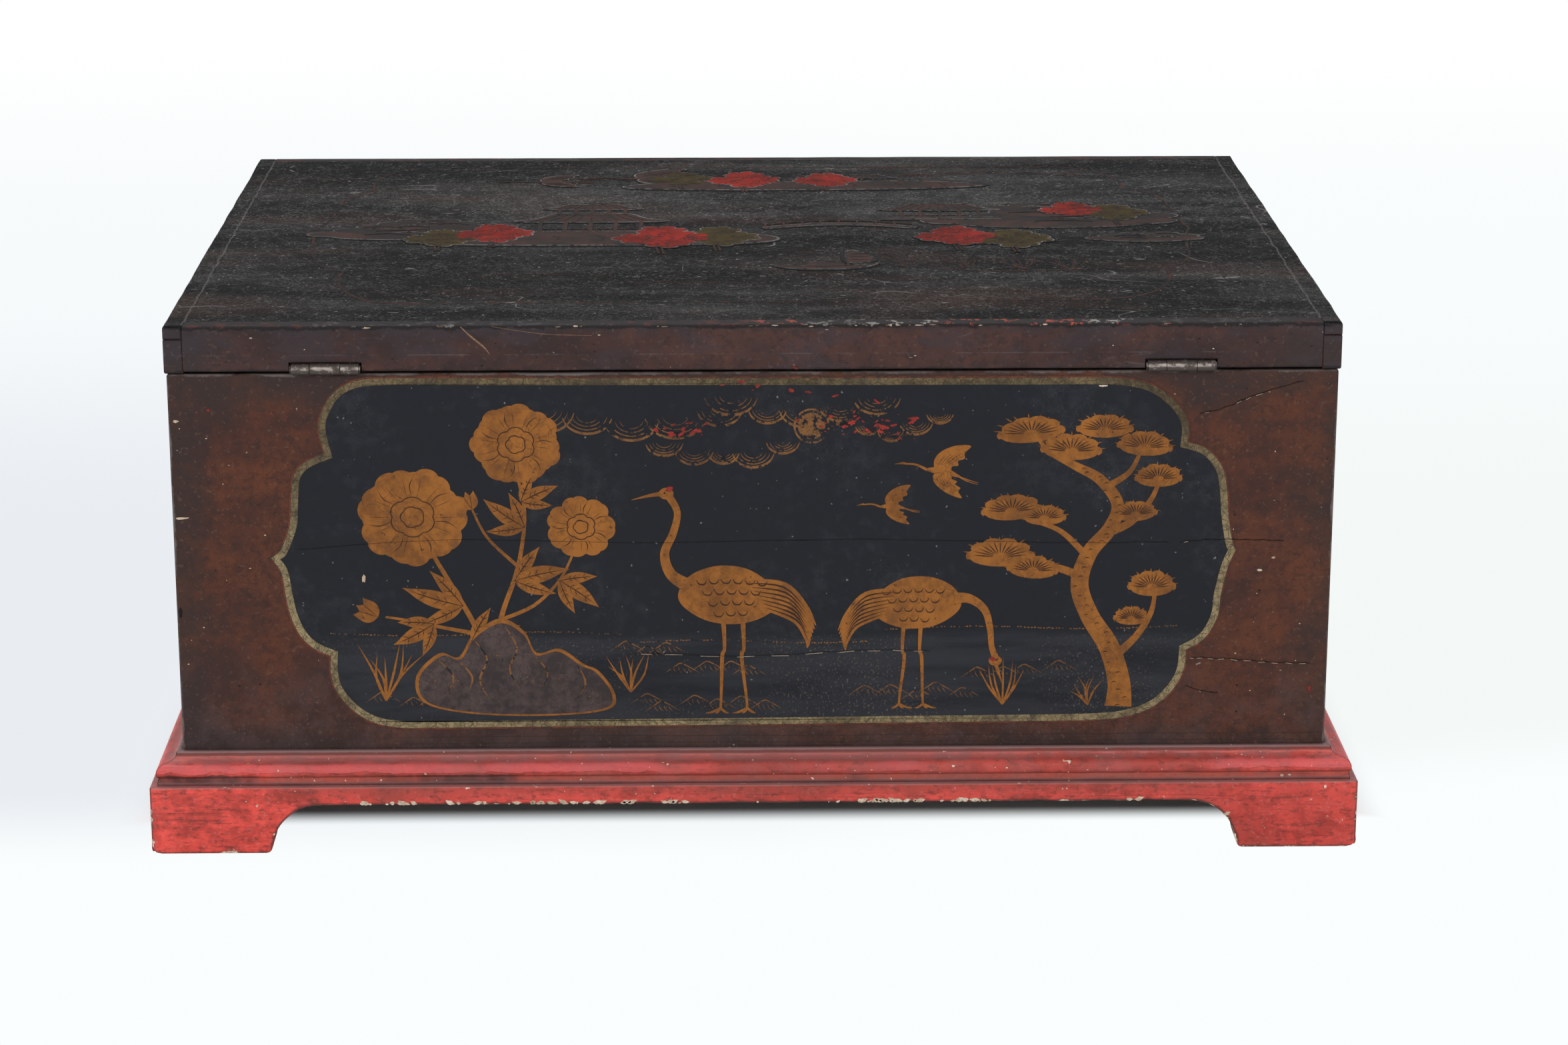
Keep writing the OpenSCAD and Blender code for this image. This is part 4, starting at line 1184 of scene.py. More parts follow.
class Paint:
    def __init__(self, name, face, material, height=0.1, soft=0.12, root=0.15):
        self.name, self.face, self.material = name, face, material
        self.height, self.soft, self.root = height, soft, root
        self.verts, self.faces, self.count = [], [], 0

    def add(self, *outlines, lift=0.0, holes=()):
        for outline in outlines:
            self.leaf([outline, *holes], self.height + lift + STACK_STEP * (self.count % STACK_COUNT))
            self.count += 1
        return self

    def leaf(self, loops, height):
        start = len(self.verts)
        clean = []
        for loop in loops:
            kept = []
            for p in loop:
                if not kept or hypot(p[0] - kept[-1][0], p[1] - kept[-1][1]) > MIN_GAP:
                    kept.append(p)
            if len(kept) > 2 and hypot(kept[0][0] - kept[-1][0], kept[0][1] - kept[-1][1]) < MIN_GAP:
                kept.pop()
            if len(kept) > 2:
                clean.append(kept)
        if not clean:
            return
        for level, inset in ((-self.root, 0.0), (height * 0.45, 0.0), (height, self.soft)):
            for loop in clean:
                turned = area(loop) if loop is clean[0] else -area(loop)
                for p in shrunk(loop, inset if turned > 0 else -inset):
                    self.verts.append(self.face.at(p[0], p[1], level))
        total = sum(len(loop) for loop in clean)
        flat = [[Vector((x, y, 0)) for x, y in loop] for loop in clean]
        tops = tessellate_polygon(flat)
        for a, b, c in tops:
            self.faces.append((start + a + 2 * total, start + b + 2 * total, start + c + 2 * total))
            self.faces.append((start + a, start + c, start + b))
        for layer in (0, 1):
            offset = start + layer * total
            for loop in clean:
                for i in range(len(loop)):
                    j = (i + 1) % len(loop)
                    self.faces.append((offset + i, offset + j, offset + j + total, offset + i + total))
                offset += len(loop)

    def piece(self):
        data = bpy.data.meshes.new(self.name)
        data.from_pydata([tuple(v) for v in self.verts], [], self.faces)
        data.materials.append(self.material)
        print(self.name, self.count, "shapes,", len(self.faces), "faces")
        return finish_piece(shown(self.name, tidied(data)), self.face.body, self.face.slot)


def area(loop):
    return sum(loop[i - 1][0] * p[1] - p[0] * loop[i - 1][1] for i, p in enumerate(loop)) / 2


def shrunk(loop, inset):
    """The loop with every point moved to its left by inset, for a counter-clockwise loop inwards."""
    count = len(loop)
    result = []
    for i, (x, y) in enumerate(loop):
        x0, y0 = loop[i - 1]
        x1, y1 = loop[(i + 1) % count]
        dx, dy = x1 - x0, y1 - y0
        length = hypot(dx, dy) or 1.0
        near = min(hypot(x - x0, y - y0), hypot(x1 - x, y1 - y))
        move = max(-near, min(near, inset)) * 0.999 if abs(inset) > near else inset
        result.append((x - dy / length * move, y + dx / length * move))
    return result


back, right_end, front, left_end = (
    Face(across, (0, 0, 1), deep, "case", "case_lacquer")
    for across, (name, half, deep, turn) in zip(((1, 0, 0), (0, 1, 0), (-1, 0, 0), (0, -1, 0)), SIDES)
)
top = Face((1, 0, 0), (0, 1, 0), TOP_FACE, "lid", "lid_top_lacquer")
# %% [markdown]
# ## Paints of the picture
# Gold here isn't metal leaf but powder in varnish, gone to a flat ochre with brushy streaks. The
# black is deep and blue, crackled like old glaze, and paler where the painter laid water. The frame
# is the same gold turned olive and split across by cracks. Faint lines are gold that has mostly
# gone, so noise decides where it still shows.


# %% Paints
WATER_LINE = 0.1165
BLACK, BLACK_PALE = (0.0105, 0.0115, 0.0155), (0.025, 0.0255, 0.031)


def panel_black(name, water=WATER_LINE):
    f = Finish(name, specular=0.16)
    z = f.parts(f.at)[2]
    cloud, fine = f.noise(12, 4, 0.6), f.noise(150, 3, 0.6, shift=2.0)
    below = f.step(z + (cloud - 0.5) * 0.012, water + 0.001, water - 0.004)
    streak = f.noise(30, 4, 0.65, stretch=(0.3, 0.3, 2.2), shift=4.0)
    pale = f.step(cloud * 0.5 + fine * 0.5, 0.48, 0.66) * 0.6
    pale = pale.at_least(below * f.step(streak, 0.35, 0.62) * 0.85)
    f.ground(pale, BLACK, BLACK_PALE)
    powder = f.spots(0.6, 0.7, 800, 1, 0.5, shift=9.0) * below * f.step(cloud, 0.4, 0.6)
    f.coat(powder * 0.5, (0.12, 0.095, 0.065))
    crack = f.cracks(230, 0.04, bend=0.006) * f.step(cloud, 0.5, 0.62)
    f.coat(crack * 0.22, (0.075, 0.07, 0.075))
    dust = f.spots(0.74, 0.79, 380, 1, 0.5, shift=6.0)
    f.coat(dust * 0.6, (0.2, 0.19, 0.19))
    return f.done(0.38 + 0.3 * fine, fine * 0.35 - crack * 0.4, 0.0004)


def powder_gold(name, light=(0.285, 0.104, 0.02), dark=(0.15, 0.056, 0.014), worn=0.0, ground=BLACK, specular=0.15):
    f = Finish(name, specular=specular)
    streak = f.noise(34, 4, 0.62, stretch=(1.0, 1.0, 0.45))
    fine, cloud = f.noise(260, 3, 0.6, shift=2.0), f.noise(20, 3, 0.6, shift=5.0)
    f.ground(f.step(streak * 0.6 + fine * 0.4, 0.36, 0.62), dark, light)
    brown = f.spots(0.58, 0.68, 75, 3, 0.65, shift=7.0)
    f.coat(brown * 0.45, (0.1, 0.042, 0.018))
    crack = f.cracks(150, 0.03, bend=0.015) * f.step(cloud, 0.44, 0.58)
    f.coat(crack * 0.55, (0.045, 0.02, 0.012))
    fleck = f.spots(0.7, 0.76, 430, 1, 0.5, shift=9.0)
    f.coat(fleck * 0.6, (0.035, 0.018, 0.012))
    if worn:
        gone = f.step(f.noise(300, 2, 0.7, shift=3.0) * 0.65 + cloud * 0.35, worn - 0.05, worn + 0.03)
        f.coat(1 - gone, ground)
    return f.done(0.4 + 0.3 * fine, fine * 0.4 + streak * 0.3 - crack * 0.5, 0.0004)


def olive_frame():
    f = Finish("olive_gold_frame", specular=0.15)
    fine, cloud = f.noise(240, 3, 0.65), f.noise(26, 3, 0.6, shift=2.0)
    tone = f.step(fine * 0.5 + cloud * 0.5, 0.38, 0.62)
    upper = f.mix(tone, (0.06, 0.044, 0.025), (0.15, 0.108, 0.056))
    lower = f.mix(tone, (0.12, 0.09, 0.048), (0.265, 0.205, 0.108))
    f.ground(f.step(f.parts(f.at)[2], 0.235, 0.14), upper, lower)
    crack = f.cracks(230, 0.05, bend=0.01).at_least(f.cracks(120, 0.03, shift=3.0, bend=0.01))
    f.coat(crack * 0.7, (0.03, 0.021, 0.014))
    dirt = f.spots(0.53, 0.66, 60, 3, 0.6, shift=5.0)
    f.coat(dirt * 0.55, (0.055, 0.042, 0.03))
    return f.done(0.45 + 0.25 * fine, fine * 0.4 - crack * 0.6, 0.0004, 0.6)


def plain_paint(name, light, dark, scale=60, specular=0.15):
    f = Finish(name, specular=specular)
    fine, cloud = f.noise(scale * 4, 3, 0.65), f.noise(scale, 4, 0.65, shift=2.0)
    f.ground(f.step(fine * 0.4 + cloud * 0.6, 0.38, 0.62), dark, light)
    crack = f.cracks(170, 0.035, bend=0.012) * f.step(cloud, 0.42, 0.56)
    f.coat(crack * 0.5, tuple(c * 0.4 for c in dark))
    return f.done(0.45 + 0.3 * fine, fine * 0.5 + cloud * 0.3 - crack * 0.4, 0.0005)


paint_black = panel_black("panel_black")
paint_gold = powder_gold("powder_gold")
paint_faint = powder_gold("faint_gold", (0.2, 0.088, 0.028), (0.1, 0.045, 0.017), worn=0.47)
paint_frame = olive_frame()
paint_line = plain_paint("brown_line", (0.062, 0.026, 0.013), (0.024, 0.012, 0.008), scale=160)
paint_rock = plain_paint("rock_brown", (0.075, 0.052, 0.048), (0.034, 0.025, 0.025))
paint_red = plain_paint("worn_red", (0.34, 0.03, 0.022), (0.11, 0.02, 0.017), scale=120)
paint_cream = plain_paint("bare_ground", (0.66, 0.55, 0.43), (0.4, 0.29, 0.2), scale=120)
paint_crack = plain_paint("dark_crack", (0.014, 0.009, 0.008), (0.006, 0.005, 0.005), scale=160)
paint_edge = powder_gold("red_frame_edge", (0.13, 0.038, 0.022), (0.06, 0.022, 0.015), 0.46, (0.048, 0.024, 0.019))
print(len(bpy.data.materials), "finishes now")

# %% [markdown]
# ## The lobed frame
# The panel's frame is a traditional shape: a long rectangle whose corners are rounded in two steps,
# with a small point in the middle of each end. The line is given by its outer edge. The inner edge
# is the same line moved inwards.

# %% Frame outline
FRAME_LINE = [
    # x and height in mm, from the lower left round to the right; a third number marks a sharp place
    (-187.9, 64.6), (-174, 64.5), (-150, 64.6), (-90, 64.9), (0, 65.4), (90, 66.0), (160, 66.4), (184.4, 67.0),
        (198.7, 68.8), (212.8, 74.1), (222.9, 83.6),
    (228.4, 94.5), (229.4, 106.0, 1), (238.9, 112.1), (245.6, 124.2), (247.2, 137.6), (250.5, 152.4),
        (254.1, 161.1, 1),
    (252.0, 167.1), (249.7, 180.4), (248.6, 193.7), (245.6, 206.9), (237.1, 216.8), (227.0, 220.4, 1), (227.1, 230.7),
    (221.1, 241.2), (209.4, 250.6), (194.1, 254.8), (176, 255.6), (150, 255.6), (90, 255.7), (0, 256.0),
        (-100, 256.4), (-170, 256.8), (-192, 256.8),
    (-206.5, 255.6), (-217.2, 250.4), (-223.9, 241.4), (-227.2, 230.3), (-224.5, 216.3, 1), (-234.4, 212.0),
        (-241.0, 204.2),
    (-242.7, 191.0), (-243.8, 177.8), (-248.7, 164.6), (-254.3, 159.5, 1), (-249.2, 151.2), (-247.2, 137.9),
    (-245.0, 127.1), (-240.2, 116.3), (-232.8, 108.9), (-224.6, 105.2, 1), (-224.9, 96.0), (-222.1, 85.1),
    (-213.4, 74.2), (-202.0, 67.3),
]


def lobed(inset=0.0, size=(1.0, 1.0), steps=6):
    """The frame's outline, inset in mm, and scaled about its middle for the smaller panels."""
    line, (cx, cy) = FRAME_LINE, (0.0, 160.0)
    points = [((p[0] - cx) * size[0] + cx, (p[1] - cy) * size[1] + cy) for p in line]
    sharp = [len(p) > 2 for p in line]
    count = len(points)
    shifted = []
    for i, (x, y) in enumerate(points):
        back_way = Vector(points[i - 1]) - Vector((x, y))
        on_way = Vector(points[(i + 1) % count]) - Vector((x, y))
        back_way.normalize()
        on_way.normalize()
        normal = Vector((-(on_way - back_way).y, (on_way - back_way).x)).normalized()
        half_angle = acos(max(-1.0, min(1.0, back_way.dot(on_way)))) / 2
        far = 1 / max(0.55, sin(half_angle)) if sharp[i] else 1.0
        shifted.append((x + normal.x * inset * far, y + normal.y * inset * far))
    start = sharp.index(True)
    order = [(start + i) % count for i in range(count)] + [start]
    result, piece = [], [shifted[start]]
    for index in order[1:]:
        piece.append(shifted[index])
        if sharp[index]:
            result += smooth_line(piece, steps)[:-1]
            piece = [shifted[index]]
    return result


# %% Frame and panel on the back
FRAME_WIDTH = 3.8


def framed(name, face, size=(1.0, 1.0)):
    for part, material, height, soft, outer, inner in (
        ("_frame_band", paint_frame, 0.32, 0.3, 0.0, FRAME_WIDTH), ("_frame_edge", paint_edge, 0.2, 0.05, -0.9, 0.5),
        ("_black_panel", paint_black, 0.1, 0.05, FRAME_WIDTH - 0.4, None),
    ):
        paint = Paint(name + part, face, material, height, soft)
        paint.add(lobed(outer, size), holes=[lobed(inner, size)] if inner else [])
        paint.piece()


framed("back", back)
# %% [markdown]
# ## The picture on the back
# The panel has a made-up picture in the manner of old lacquer: a pine at the right, two cranes at
# the water, peonies behind a rock at the left, a moon in clouds above, and flying cranes. Each has
# a gold body, and thin brown strokes on it for veins and feathers. A motif is a function, so the
# other sides use it again.


# %% Motif collector
class Picture:
    """Paints for one face. A motif adds outlines to them by name."""

    def __init__(self, prefix, face, paints):
        self.paints = {key: Paint(prefix + "_" + key, face, material, height) for key,
            (material, height) in paints.items()}
        self.shift = (0.0, 0.0, 0.0, 1.0, False)

    def put(self, key, *outlines, lift=0.0):
        x, y, turn, size, flip = self.shift
        self.paints[key].add(*[moved(o, x, y, turn, size, flip) for o in outlines], lift=lift)

    def brush(self, key, points, *width, lift=0.0, **how):
        self.put(key, stroke(points, *width, **how), lift=lift)

    def placed(self, x=0.0, y=0.0, turn=0.0, size=1.0, flip=False):
        self.shift = (x, y, radians(turn), size, flip)
        return self

    def pieces(self):
        for paint in self.paints.values():
            if paint.count:
                paint.piece()


def leaf_shape(x, y, length, width, angle, bend=0.0):
    """A pointed leaf from its stalk, bending to its left by bend."""
    a = radians(angle)
    along, side = (cos(a), sin(a)), (-sin(a), cos(a))
    spine = []
    for i in range(9):
        t = i / 8
        off = bend * length * t * t
        half = width * sin(pi * min(1.0, t * 1.02) ** 0.8) * (1.0 if t < 1 else 0.0)
        spine.append((x + along[0] * length * t + side[0] * off, y + along[1] * length * t + side[1] * off,
            max(half, 0.15)))
    return stroke(spine, steps=3), [(p[0], p[1]) for p in spine]


def leaf(pic, x, y, length, width, angle, bend=0.0, key="gold", veins=0):
    outline, spine = leaf_shape(x, y, length, width, angle, bend)
    pic.put(key, outline)
    if veins:
        pic.brush("line", spine[:-1], 0.8, ends=(0.6, 0.2), steps=3)
        a = radians(angle)
        for i in range(1, veins + 1):
            px, py = spine[1 + round(i * 5 / (veins + 1))]
            reach = width * 0.42
            for side in (-1, 1):
                b = a + side * 0.75
                end = polar(px, py, reach, reach, b)
                pic.brush("line", [(px, py), ((px + end[0]) / 2, (py + end[1]) / 2 + 0.2), end], 0.6, steps=2)


def tuft(pic, x, y, count, length, spread, middle=90.0, width=1.0, key="gold", seed=0):
    """Grass blades or needles fanning out from one place."""
    draw = random.Random(seed)
    for i in range(count):
        angle = radians(middle + spread * (i / max(1, count - 1) - 0.5) * 2 + draw.uniform(-4, 4))
        reach = length * draw.uniform(0.75, 1.1)
        lean = draw.uniform(-0.12, 0.12) * reach
        mid = (x + cos(angle) * reach * 0.5 - sin(angle) * lean, y + sin(angle) * reach * 0.5 + cos(angle) * lean)
        tip = polar(x, y, reach, reach, angle)
        pic.brush(key, [(x, y), mid, tip], width, ends=(0.8, 0.1), steps=4)


def scalloped(x, y, rx, ry, bumps, depth, start=0.0, end=360.0, seed=0, steps=7):
    """A round patch whose rim is a row of bumps between two angles and plain elsewhere."""
    draw = random.Random(seed)
    result = []
    for i in range(bumps):
        a0 = start + (end - start) * i / bumps
        a1 = start + (end - start) * (i + 1) / bumps
        swell = depth * draw.uniform(0.7, 1.2)
        for s in range(steps):
            t = s / steps
            a = radians(a0 + (a1 - a0) * t)
            r = 1 + swell * sin(pi * t) ** 0.7
            result.append(polar(x, y, rx * r, ry * r, a))
    if end - start < 359:
        for i in range(9):
            a = radians(end + (360 - end + start) * i / 8)
            result.append(polar(x, y, rx, ry * 0.55, a))
    return result


# %% [markdown]
# ## Pine
# An old pine leans in from the side. Its trunk is one long stroke that swells and bends, and the
# needles grow in flat cushions, each with a scalloped top and fine strokes fanning out over it.


# %% Pine
def needles(pic, x, y, rx, ry, seed=0, turn=0.0):
    """One cushion of needles, its middle low and its scallops above."""
    shape = scalloped(x, y, rx, ry, 6, 0.13, -12, 192, seed)
    pic.put("gold", moved([(px - x, py - y) for px, py in shape], x, y, radians(turn)))
    for i in range(13):
        a = radians(8 + 164 * i / 12 + turn)
        near, far = 0.25, 0.86 + 0.06 * (i % 2)
        p = [polar(x, y, rx * r, ry * r, a) for r in (near, (near + far) / 2, far)]
        pic.brush("line", p, 0.85, ends=(0.5, 0.15), steps=2)
    draw = random.Random(seed + 50)
    for i in range(9):
        a = radians(14 + 152 * i / 8 + turn + draw.uniform(-4, 4))
        reach = draw.uniform(1.16, 1.3)
        p = [polar(x, y, rx * r, ry * r, a) for r in (0.95, (0.95 + reach) / 2, reach)]
        pic.brush("gold", p, 0.7, ends=(0.8, 0.15), steps=2)


def pine(pic):
    trunk = [
        (27, -87, 15), (27, -72, 12.5), (21, -52, 11.5), (10, -34, 10.5), (4, -16, 10), (9, 2, 9), (20, 16, 8),
            (24, 30, 7),
        (14, 44, 6), (0, 52, 4.6), (-14, 60, 3.0), (-22, 70, 1.6),
    ]
    pic.brush("gold", trunk, steps=6)
    branches = [
        [(6, -12, 5), (-10, -6, 4), (-24, -9, 3.2), (-38, -2, 2.0)],
        [(20, 14, 5), (32, 20, 4), (42, 32, 3), (47, 44, 2)],
        [(18, 40, 4), (30, 48, 3), (36, 60, 2)],
        [(24, -58, 5), (36, -46, 4), (44, -32, 3), (46, -18, 2)],
        [(8, 0, 4), (-6, 14, 3), (-20, 20, 2.2), (-34, 24, 1.4)],
    ]
    for branch in branches:
        pic.brush("gold", branch, steps=5)
    cushions = [
        (-40, 0, 17, 10, 0), (-22, -8, 13, 8, -4), (-34, 26, 15, 9, 4), (-16, 22, 11, 7, 0), (-24, 70, 17, 9, 6),
        (-2, 60, 15, 9, -2), (16, 72, 14, 8, 0), (38, 62, 14, 8.5, -4), (46, 44, 12, 8, 0), (34, 24, 11, 7, 4),
        (44, -18, 12, 9, 0), (33, -36, 9, 6.5, 0),
    ]
    for i, (x, y, rx, ry, turn) in enumerate(cushions):
        needles(pic, x, y, rx, ry, i, turn)
    draw = random.Random(11)
    for i in range(30):
        t = i / 30 * (len(trunk) - 3)
        x, y, w = trunk[int(t)]
        x1, y1, _ = trunk[int(t) + 1]
        f = t - int(t)
        px, py = x + (x1 - x) * f + draw.uniform(-0.28, 0.28) * w, y + (y1 - y) * f
        r = draw.uniform(1.0, 1.9)
        arc = [polar(px, py, r, r * 0.8, a) for a in (0.4, 1.3, 2.2, 3.1)]
        pic.brush("line", arc, 0.55, steps=3)
    tuft(pic, 10, -86, 6, 17, 40, 100, 1.0, seed=5)


# %% [markdown]
# ## Cranes
# A crane is a teardrop of a body, a long neck in one S-shaped stroke, a small head with a beak,
# thin legs and a dark fall of tail feathers.


# %% Cranes
def crane(pic, feeding=False):
    body = [(-25, 6), (-20, 15), (-8, 20), (6, 19), (17, 12), (22, 3), (16, -4), (4, -8), (-10, -7), (-21, -1)]
    pic.put("gold", smooth_line(body, 5, closed=True))
    if feeding:
        neck = [(-20, 8, 6.5), (-29, 8, 5.0), (-37, 2, 4.0), (-40, -8, 3.4), (-41, -18, 3.0), (-43, -24, 3.6)]
        head, beak, crown = (-43, -26), [(-43, -27, 2.2), (-45, -33, 1.4), (-47, -39, 0.3)], (-41.6, -25)
    else:
        neck = [(-19, 10, 7), (-28, 16, 5.2), (-31, 26, 4.2), (-27, 36, 3.6), (-25, 46, 3.2), (-29, 54, 3.6)]
        head, beak, crown = (-30, 55), [(-31, 55, 2.4), (-38, 54, 1.5), (-46, 52, 0.3)], (-28.6, 57.2)
    pic.brush("gold", neck, steps=6)
    pic.put("gold", blob(head[0], head[1], 3.5, 2.8, 0.05))
    pic.brush("gold", beak, steps=4)
    pic.put("red", blob(crown[0], crown[1], 1.9, 1.1, 0.1, turn=0.4))
    pic.put("line", blob(head[0] - 0.8, head[1] + 0.3, 0.55, 0.5, 0.0, steps=8))
    # Long feathers over the tail
    for i in range(7):
        a = i / 6
        start = (8 + 8 * a, 12 - 12 * a, 3.4)
        feather = [start, (24 + 6 * a, 10 - 16 * a, 4.4), (34 + 1 * a, 0 - 15 * a, 3.0),
            (39 - 4 * a, -9 - 11 * a, 0.5)]
        pic.brush("gold", feather, steps=5)
        shifted = [(x, y - 0.3) for x, y, _ in feather[:3]]
        pic.brush("line", shifted, 1.0, ends=(0.3, 0.1), steps=4)
    # Rows of small feathers on the wing
    for row in range(4):
        for i in range(6 - row):
            x, y = -14 + 5.6 * i + 2.6 * row, 13.5 - 5.2 * row - 0.35 * (i - 2) ** 2 * 0.4
            arc = [(x - 2.4, y + 0.6), (x - 1.2, y - 1.5), (x + 1.2, y - 1.7), (x + 2.5, y + 0.3)]
            pic.brush("line", arc, 0.85, ends=(0.3, 0.3), steps=3)
    for x, foot in ((-4, -3), (5, 4)):
        leg = [(x, -6, 2.4), (x + 0.5, -20, 1.6), (x - 0.6, -24, 1.9), (x + foot * 0.4, -44, 1.3),
            (x + foot * 0.5, -50, 1.3)]
        pic.brush("gold", leg, steps=4)
        fx = x + foot * 0.5
        for toe in (-7, -2.5, 4):
            pic.brush("gold", [(fx, -49.5, 1.3), (fx + toe * 0.6, -51.4, 1.1), (fx + toe, -51.8, 0.3)], steps=3)


def flying(pic):
    body = [(-14, -1, 1.0), (-6, 0, 5.5), (4, 0.5, 6.5), (12, -0.5, 3.5), (19, -2, 0.6)]
    pic.brush("gold", body, steps=5)
    pic.brush("gold", [(-12, -1, 2.6), (-22, 1.5, 1.9), (-31, 0.5, 1.7), (-33, 0.6, 2.2), (-40, -1.6, 0.3)], steps=5)
    for legs in (-2.6, -4.0):
        pic.brush("gold", [(14, -1, 1.2), (24, legs, 0.9), (33, legs - 0.8, 0.4)], steps=4)
    for side, lift in ((1, 1.0), (-1, 0.72)):
        wing = [(-5, 1), (-8, 9 * lift), (-3, 18 * lift), (8, 25 * lift), (20, 27 * lift), (16, 20 * lift),
            (17, 15 * lift),
                (12, 12 * lift), (13, 8 * lift), (8, 6 * lift), (7, 1)]
        wing = [(x + (0 if side > 0 else 2), y * side) for x, y in wing]
        pic.put("gold", smooth_line(wing, 4, closed=True))
        for i in range(5):
            x0, y0 = -4 + 2.4 * i, (5 + 0.6 * i) * side * lift
            x1, y1 = 1 + 3.8 * i, (15 + 2.1 * i - 0.35 * i * i) * side * lift
            pic.brush("line", [(x0, y0), ((x0 + x1) / 2 - 0.6, (y0 + y1) / 2), (x1, y1)], 0.6, steps=3)


# %% [markdown]
# ## Peonies and rock
# The flowers are big and few, as on the old box's pictures: a ruffled rim, petals in two rounds and
# a small middle. Leaves come in threes. The rock is brown with a gold edge and stands in front.


# %% Peonies
def peony(pic, x, y, r, turn=0, seed=0):
    draw = random.Random(seed)
    for i in range(7):
        a = radians(turn + 360 * i / 7 + draw.uniform(-6, 6))
        px, py = polar(x, y, 0.55 * r, 0.5 * r, a)
        pic.put("gold", scalloped(px, py, 0.52 * r, 0.48 * r, 7, 0.1, seed=seed + i))
    for i in range(7):
        a = radians(turn + 360 * (i + 0.5) / 7)
        bow = [polar(x, y, k * r, k * r * 0.94, a + d) for k, d in ((0.42, 0.0), (0.68, 0.08), (0.92, -0.04))]
        pic.brush("line", bow, 0.7, steps=4)
        for k, d in ((0.62, -0.22), (0.66, 0.24)):
            b = radians(turn + 360 * i / 7) + d
            fine = [polar(x, y, f * r, f * r * 0.94, b) for f in (0.45, k, 0.84)]
            pic.brush("line", fine, 0.4, steps=3)
    for k, bumps in ((0.4, 6), (0.21, 5)):
        rim = scalloped(x, y, k * r, k * r * 0.92, bumps, 0.16, seed=seed + 3)
        rim.append(rim[0])
        pic.brush("line", [(px, py, 0.7) for px, py in rim], steps=1)


def bud(pic, x, y, r, angle):
    for k in (-24, 24, 0):
        leaf(pic, x, y, r * 1.5, r * 0.85, angle + k, 0.0)
    pic.brush("line", leaf_shape(x, y, r * 1.2, 1, angle - 12)[1], 0.5, steps=2)
    pic.brush("line", leaf_shape(x, y, r * 1.2, 1, angle + 12)[1], 0.5, steps=2)


def spray(pic, x, y, length, angle, size=1.0):
    """Three leaves on one stalk, the middle one longest."""
    for k, s in ((-42, 0.78), (42, 0.78), (0, 1.0)):
        leaf(pic, x, y, length * s, 9.5 * size * s, angle + k, 0.1 if k < 0 else -0.1, veins=3)


def peonies(pic):
    stems = [
        [(10, -70, 3.4), (4, -44, 3.0), (-8, -20, 2.6), (-20, 2, 2.2), (-26, 18, 1.8)],
        [(12, -66, 3.2), (16, -36, 2.8), (26, -6, 2.4), (30, 24, 2.0), (26, 46, 1.6)],
        [(4, -44, 2.4), (-16, -40, 2.0), (-34, -36, 1.6), (-46, -34, 1.2)],
        [(16, -36, 2.2), (34, -28, 2.0), (48, -14, 1.6), (56, 2, 1.2)],
        [(26, -6, 2.0), (10, 10, 1.6), (2, 26, 1.2)],
    ]
    for stem in stems:
        pic.brush("gold", stem, steps=5)
    spray(pic, -4, -28, 34, 168)
    spray(pic, 24, -14, 30, 18)
    spray(pic, 30, 16, 27, 150, 0.9)
    spray(pic, 48, -14, 26, -30, 0.9)
    spray(pic, 0, -48, 28, 24, 0.9)
    spray(pic, -20, -38, 25, 214, 0.9)
    spray(pic, 28, 30, 22, 30, 0.8)
    peony(pic, -30, 22, 27, 12, 1)
    peony(pic, 26, 62, 22, 30, 2)
    peony(pic, 60, 16, 17, 0, 3)
    bud(pic, -50, -34, 9, 150)
    bud(pic, 2, 26, 7, 110)


def rock(pic):
    shape = [(-46, -20), (-50, -6), (-38, 6), (-28, 4), (-20, 16), (-6, 24), (6, 17), (12, 6), (24, 8), (36, 0),
        (44, -4), (52, -16), (48, -24), (20, -27), (-20, -26)]
    line = smooth_line(shape, 5, closed=True)
    pic.put("gold", [(x * 1.035, (y + 2) * 1.07 - 1.2) for x, y in line], lift=0.03)
    pic.put("rock", line)
    ridges = [
        [(-20, 14), (-14, 4), (-18, -8), (-12, -20)], [(-4, 22), (2, 10), (-2, -2), (4, -14)],
            [(12, 5), (18, -4), (14, -14)],
        [(-40, 4), (-32, -6), (-36, -16)], [(34, 0), (38, -10), (32, -20)], [(-28, 2), (-22, -6), (-24, -14)],
    ]
    for ridge in ridges:
        pic.brush("faint", ridge, 1.3, ends=(0.5, 0.1), steps=5, lift=0.18)
    for x, y in ((-30, -10), (-8, 4), (8, -8), (26, -6), (42, -16), (-44, -8)):
        for k in range(5):
            pic.put("faint", blob(x + 2.4 * cos(k * 1.9), y + 2.0 * sin(k * 1.9), 0.55, 0.5, steps=6), lift=0.18)


# %% [markdown]
# ## Moon, clouds and water
# Clouds are rows of scallops drawn in worn gold, each with a few lines following inside.


# %% Sky and water
def cloud(pic, x, y, width, seed=0, flip=1):
    draw = random.Random(seed)
    bumps = 5
    for i in range(bumps):
        t = i / (bumps - 1)
        cx = x + width * (t - 0.5)
        cy = y - flip * 7 * sin(pi * t) + draw.uniform(-1.5, 1.5)
        r = width * 0.15 * draw.uniform(0.85, 1.25)
        for k, w in ((1.0, 1.5), (0.8, 0.7), (0.62, 0.6), (0.44, 0.5)):
            arc = [polar(cx, cy, r * k, -flip * r * k * 0.8, radians(10 + 20 * j)) for j in range(9)]
            pic.brush("faint", arc, w, ends=(0.3, 0.3), steps=2)


